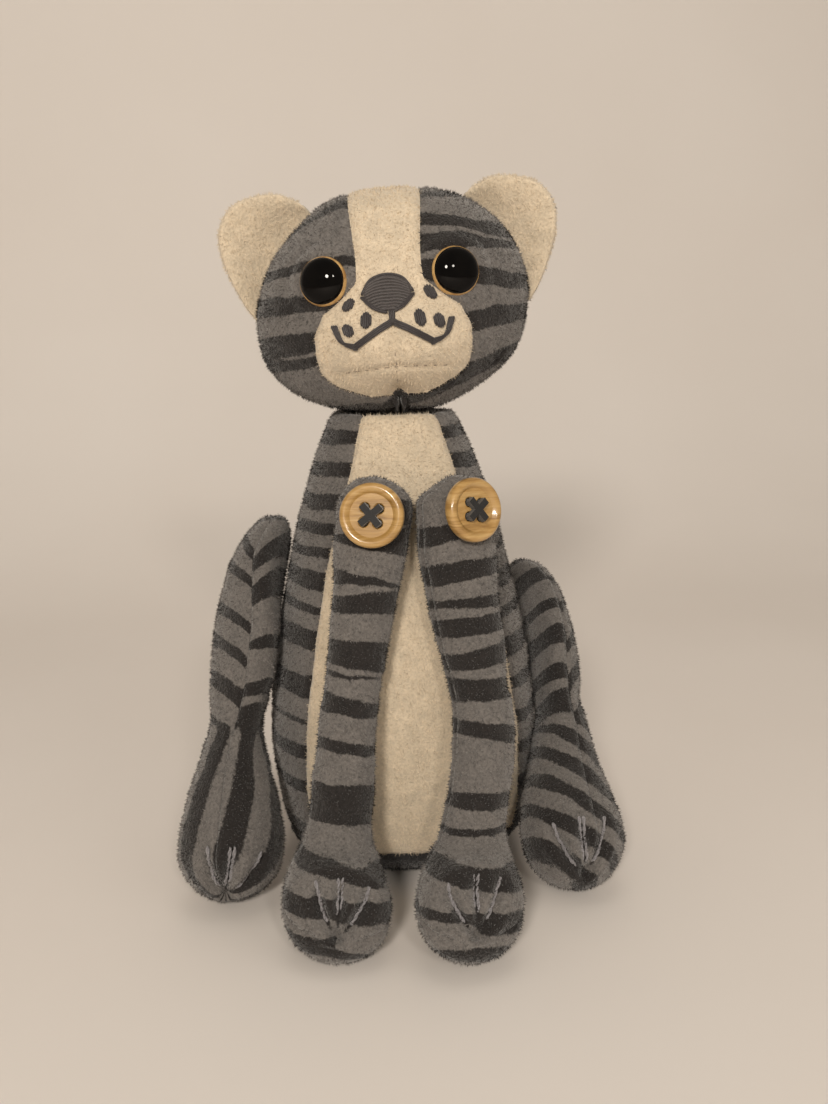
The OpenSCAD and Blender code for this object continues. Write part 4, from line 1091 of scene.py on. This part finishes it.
def build_button(name, wood):
    r, t, floor = BUTTON_D / 2, BUTTON_T, BUTTON_T - DISH
    flat = r - 2.1
    profile = [(0.01, 0), (r - 1.1, 0), (r - 0.35, 0.3), (r, 1.0), (r, 1.7)]
    profile += [(r - 1.15 + 1.15 * math.cos(x), t - 1.1 + 1.1 * math.sin(x))
                for x in np.linspace(0.25, math.pi / 2, 6)]
    profile += [(flat + 0.45, t - 0.12), (flat + 0.05, t - 0.5), (flat - 0.35, floor),
                (0.01, floor)]
    drill = [(0.001, -1), (1.25, -1), (1.1, 0.3), (1.1, floor - 0.25), (1.45, floor + 0.1),
             (1.6, t + 1), (0.001, t + 1)]
    blank = new_object("button_blank", *lathe(profile, np.eye(4), 72))
    drills = [new_object("drill", *lathe(drill, shift(x, y, 0), 24))
              for x in (-HOLE_AT, HOLE_AT) for y in (-HOLE_AT, HOLE_AT)]
    for o in (blank, *drills):
        outward(o.data, 0.02)
    for o in drills:
        cut = blank.modifiers.new("hole", "BOOLEAN")
        cut.object, cut.operation, cut.solver = o, "DIFFERENCE", "EXACT"
    depsgraph = bpy.context.evaluated_depsgraph_get()
    done = bpy.data.meshes.new_from_object(blank.evaluated_get(depsgraph))
    points = moved(np.array([v.co for v in done.vertices]), button_frame(name))
    faces = [tuple(q.vertices) for q in done.polygons]
    for o in (blank, *drills):
        bpy.data.objects.remove(o)
    body = f"front_leg_{name}"
    button = solid(f"leg_button_{name}_wood", points, faces, body, "lacquered_wood", wood,
                   [f"leg_button_{name}"])
    button.data.set_sharp_from_angle(angle=math.radians(40))
    # Thread: a cross of strands through the four holes, the second over the first
    paths = []
    for a, lift in ((45, 0.55), (135, 0.95)):
        way = np.array([math.cos(math.radians(a)), math.sin(math.radians(a)), 0])
        for k in (-0.42, 0.0, 0.42):
            lane = k * np.array([-way[1], way[0], 0])
            end = HOLE_AT * math.sqrt(2)
            # Along the strand and up, from under the first hole to the middle
            rise = ((end, -1.6), (end - 0.1, floor + 0.1), (end - 0.7, floor + 0.4))
            path = [lane - way * x + [0, 0, z] for x, z in rise] + [lane + [0, 0, floor + lift]]
            path += [lane + way * x + [0, 0, z] for x, z in rise[::-1]]
            paths.append(moved(np.array(path), button_frame(name)))
    threads(f"button_thread_{name}_cross", paths, body, "black_thread", BLACK, [], 0.3)


# ---- Tail ----

# The tail's distance from its root and its radius, as shares
TAIL = [(0, 0.004), (0.012, 0.42), (0.045, 0.76), (0.10, 0.96), (0.24, 1), (0.42, 0.95),
        (0.60, 0.88), (0.76, 0.82), (0.88, 0.74), (0.95, 0.56), (0.985, 0.3), (1, 0.004)]


def build_tail():
    rows = smooth_rows([(l * TAIL_L, r * TAIL_R) for l, r in TAIL], 48, [1, 1])
    rows[:, 1] = np.maximum(rows[:, 1], 0.02)
    cols, seam = 32, 24
    g = np.radians(360 * np.arange(cols) / cols)[None, :]
    bend = rows[:, :1] / TAIL_CURVE
    side = TAIL_CURVE - rows[:, 1:] * np.cos(g)
    root = np.array([0, BODY_D / 2 - 2.1, TAIL_R + 0.2])
    grid = root + np.stack([TAIL_CURVE - side * np.cos(bend), side * np.sin(bend),
                            rows[:, 1:] * np.sin(g)], 2)
    grid = finer(stuffed(grid, (), [seam], 0.5), 1)
    cols, seam = 2 * cols, 2 * seam
    step = lumps(grid, 0.4, 71) + gathers(grid, from_column(grid, seam), 72, 0.4)
    grid = grid + normals(grid) * step[:, :, None]
    grid[:, :, 2] = np.maximum(grid[:, :, 2], FLOOR_GAP)
    s = lengths(grid.mean(1))[:, None] + 0 * step
    take = (np.arange(cols + 1) + seam) % cols
    panel("tail_cloth", grid[:, take], bands(s, grid, 10, 81, 0.05)[:, take], "tail", "striped",
          ["tail_cover", "tail_stuffing"], grid.mean(1, keepdims=True))


# ---- Dark stripes of the limbs: height and width at one edge, then at the other ----

# Front legs, from their right edge to their left
FRONT_STRIPES = {
    "left": ((3.4, 0.4, 1, 6), (-6.2, 1.4, -5.4, 7), (-14.3, 4.2, -16.2, 0.8),
             (-21.6, 3.6, -19.8, 5.4), (-32.3, 5.6, -33.2, 7), (-37.6, 1.4, -38, 0.6),
             (-44, 4.8, -45.6, 3.3), (-53.7, 2.8, -54.8, 2.6), (-67.6, 9.2, -67.4, 9.6),
             (-79.4, 3, -82, 3.8), (-88.2, 4.2, -88.8, 4.6), (-96.5, 4.5, -99, 1.2)),
    "right": ((-5.9, 4.8, -2.5, 1.2), (-15.2, 4.8, -11.8, 3.8), (-22, 1.8, -20.4, 3.2),
              (-27.4, 4, -25.4, 4.8), (-35.6, 4.2, -32.4, 5.4), (-42, 5.2, -41.6, 4.6),
              (-50.6, 3.8, -52.8, 4.4), (-67, 3.6, -67.6, 3.8), (-74, 1.6, -74.2, 1.8),
              (-80.4, 3.6, -84.2, 5.2), (-89.5, 2.4, -92.5, 4.6), (-98, 2.4, -99.5, 4.2))}
# Thighs, from the front seam outwards and inwards
THIGH_OUTER = {
    "left": ((27, 3, 24, 3), (13.4, 3, 22, 2.6), (6, 3, 14, 3), (-6, 3, 2, 3.4),
             (-15, 3, -6.5, 3.6), (-23.5, 5, -17, 4), (-33, 2, -28, 3.5)),
    "right": ((22, 3, 24, 3), (10.4, 3, 17, 3.2), (0.4, 3.4, 11, 3.6), (-10.6, 4, -1, 4),
              (-21, 4.4, -11, 4.6), (-31, 4, -22, 4))}
THIGH_INNER = {
    "left": ((26, 2.4, 28, 4), (11.2, 4.4, 19.6, 7.8), (2.6, 5, 9, 8.4), (-9.9, 2.2, -7.4, 4.2),
             (-21, 3.4, -19, 4.8), (-29, 8, -29, 12)),
    "right": ((22.5, 5, 22, 4), (12.8, 5.6, 12.6, 6), (1.9, 3.2, 1.7, 3.4), (-7.2, 5.6, -7.4, 5.4),
              (-17, 4.2, -17.2, 4), (-25, 7, -25.5, 6))}


def front_field(side, seed):
    def field(grid, angle):
        along = 0.5 + 0.5 * SIDES[side] * np.sin(angle)
        drawn = strokes(grid, grid[:, :, 2], along, FRONT_STRIPES[side], seed)
        loose = bands(-grid[:, :, 2] + 2, grid, 10, seed + 3, 0.0)
        return blend(ease(-np.cos(angle), 0.2, 0.7) * ease(grid[:, :, 2], -91, -86), drawn, loose)
    return field


def hind_field(side, seed):
    def field(grid, angle):
        z, out = grid[:, :, 2], np.sin(angle - math.radians(18))
        front = ease(np.cos(angle), -0.75, -0.2)
        outer = strokes(grid, z, np.clip(out, 0, 1), THIGH_OUTER[side], seed)
        inner = strokes(grid, z, np.clip(-out, 0, 1), THIGH_INNER[side], seed + 3)
        thigh = blend(front, bands(z + 0.3 * grid[:, :, 1], grid, 10, seed + 5, 0.0),
                      np.where(out > 0, outer, inner))
        # Stripes on the foot run along it, on the left, and across it at a slant, on the right
        if side == "left":
            turned = (np.degrees(angle) + 180) % 360 - 180
            run = 6.2 * turned / 60 + 0.10 * (z + 50)
            foot = bands(run * 1.6 + 3.2, grid * [1, 1, 0.4], 9.5, seed + 7, 0.05, 0.2, 0.5)
        else:
            foot = bands(z + 0.85 * grid[:, :, 0] + 1, grid, 9.5, seed + 7, 0.1, 0.15, 0.45)
        return blend(ease(-z, 26, 33), thigh, foot)
    return field


# ---- The cat ----

build_torso()
build_head()
for name in SIDES:
    build_ear(name)
build_mouth()
build_whisker_spots()
build_nose()
build_chin()
pupil = mottled("eye_pupil", 300, [(0.3, srgb(4, 3, 3)), (0.7, srgb(9, 7, 6))], Roughness=0.03,
                Specular_IOR_Level=0.16)
amber = mottled("eye_amber", 500, [(0.3, srgb(158, 116, 62)), (0.7, srgb(206, 168, 108))],
                Roughness=0.12, Coat_Weight=1.0, Coat_Roughness=0.05)
wood = wood_material()
for name, sign in SIDES.items():
    build_eye(name, pupil, amber)
    build_limb("front", name, 100 + sign, front_frame(name), front_rows(FRONT[name]["bow"]),
               {"front": -90, "back": 90}, front_field(name, 110 + 10 * sign), 14.0,
               FRONT[name]["turn"])
    build_button(name, wood)
    build_limb("hind", name, 120 + sign, hind_frame(name),
               hind_rows(HIND[name]["thick"], HIND[name]["top"]), {"outer": 18, "inner": 198},
               hind_field(name, 150 + 10 * sign), 19.0)
build_tail()

# CAD nodes that stay: they are inside or between the cloth pieces. A node takes the first look
# whose word is in its name, and the last look if none is
looks = {"stuffing": fleece("fibre_fill", srgb(238, 234, 226)), "thread": BLACK,
         "bag": fleece("bag_cloth", srgb(214, 204, 182)),
         "": mottled("joint_plastic", 400, [(0.3, srgb(52, 51, 50)), (0.7, srgb(70, 69, 67))],
                     Roughness=0.5)}
for name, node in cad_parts.items():
    if not node.hide_render:
        node.data.materials.clear()
        node.data.materials.append(next(look for word, look in looks.items() if word in name))


# ---- Stage, light and camera ----

def build_stage():
    """A floor that curves up into a wall, so that there is no line behind the cat."""
    ys = [-1.2, 0.25, 0.30, 0.36, 0.41, 0.44, 0.45, 0.45]
    zs = [0, 0, 0.008, 0.035, 0.085, 0.15, 0.24, 1.6]
    profile = smooth_rows(list(zip(ys, zs)), 60, [1, 1])
    profile[:, 1] = np.maximum(profile[:, 1], 0)
    xs = np.linspace(-1.6, 1.6, 9)
    floor = new_object("floor", [(x, y, z) for y, z in profile for x in xs],
                       patch_faces(len(profile), len(xs)).tolist())
    floor.data.polygons.foreach_set("use_smooth", [True] * len(floor.data.polygons))
    floor.data.materials.append(mottled(
        "pale_floor", 6, [(0.2, srgb(226, 219, 213)), (0.8, srgb(231, 225, 220))],
        Roughness=0.7, Specular_IOR_Level=0.2))


def area_light(name, place_at, aim, size, watts, colour, glossy):
    data = bpy.data.lights.new(name, "AREA")
    data.shape, data.size = "DISK", size
    data.energy, data.color = watts, colour
    light = bpy.data.objects.new(name, data)
    scene.collection.objects.link(light)
    light.visible_glossy = glossy
    light.location = place_at
    light.rotation_euler = (Vector(aim) - Vector(place_at)).to_track_quat("-Z", "Y").to_euler()


build_stage()
WARM, MILD = (1.0, 0.92, 0.82), (1.0, 0.94, 0.87)
for light in (
        ("key", (-0.28, -0.85, 0.50), (0, 0, 0.08), 0.15, 5.2, WARM, True),
        ("second", (0.10, -0.90, 0.53), (0, 0, 0.08), 0.10, 1.6, WARM, True),
        ("fill", (0.6, -0.6, 0.35), (0, 0, 0.09), 0.8, 1.0, MILD, False),
        ("top", (0.0, 0.05, 1.0), (0, 0, 0.1), 0.6, 0.9, MILD, False),
        ("back", (0.35, 0.75, 0.75), (0, 0, 0.08), 0.8, 0.9, MILD, False)):
    area_light(*light)
scene.world = bpy.data.worlds.new("world")
scene.world.use_nodes = True
sky = scene.world.node_tree.nodes["Background"]
sky.inputs["Color"].default_value = srgb(232, 222, 206)
sky.inputs["Strength"].default_value = 0.36

# The camera stands to the cat's right and above it, rolled a little
CAMERA_AT = (-33.57, -261.88, 139.0)
AZIMUTH, ELEVATION, ROLL = -8, 12, 1
camera_data = bpy.data.cameras.new("camera")
camera_data.sensor_width, camera_data.lens = 36, 32.6
camera = bpy.data.objects.new("camera", camera_data)
scene.collection.objects.link(camera)
camera_turn = turn("Z", AZIMUTH) @ turn("X", 90 - ELEVATION) @ turn("Z", -ROLL)
camera.matrix_world = Matrix((shift(*CAMERA_AT) @ camera_turn).tolist())
camera.location *= MM
scene.camera = camera
scene.view_settings.view_transform = "Standard"
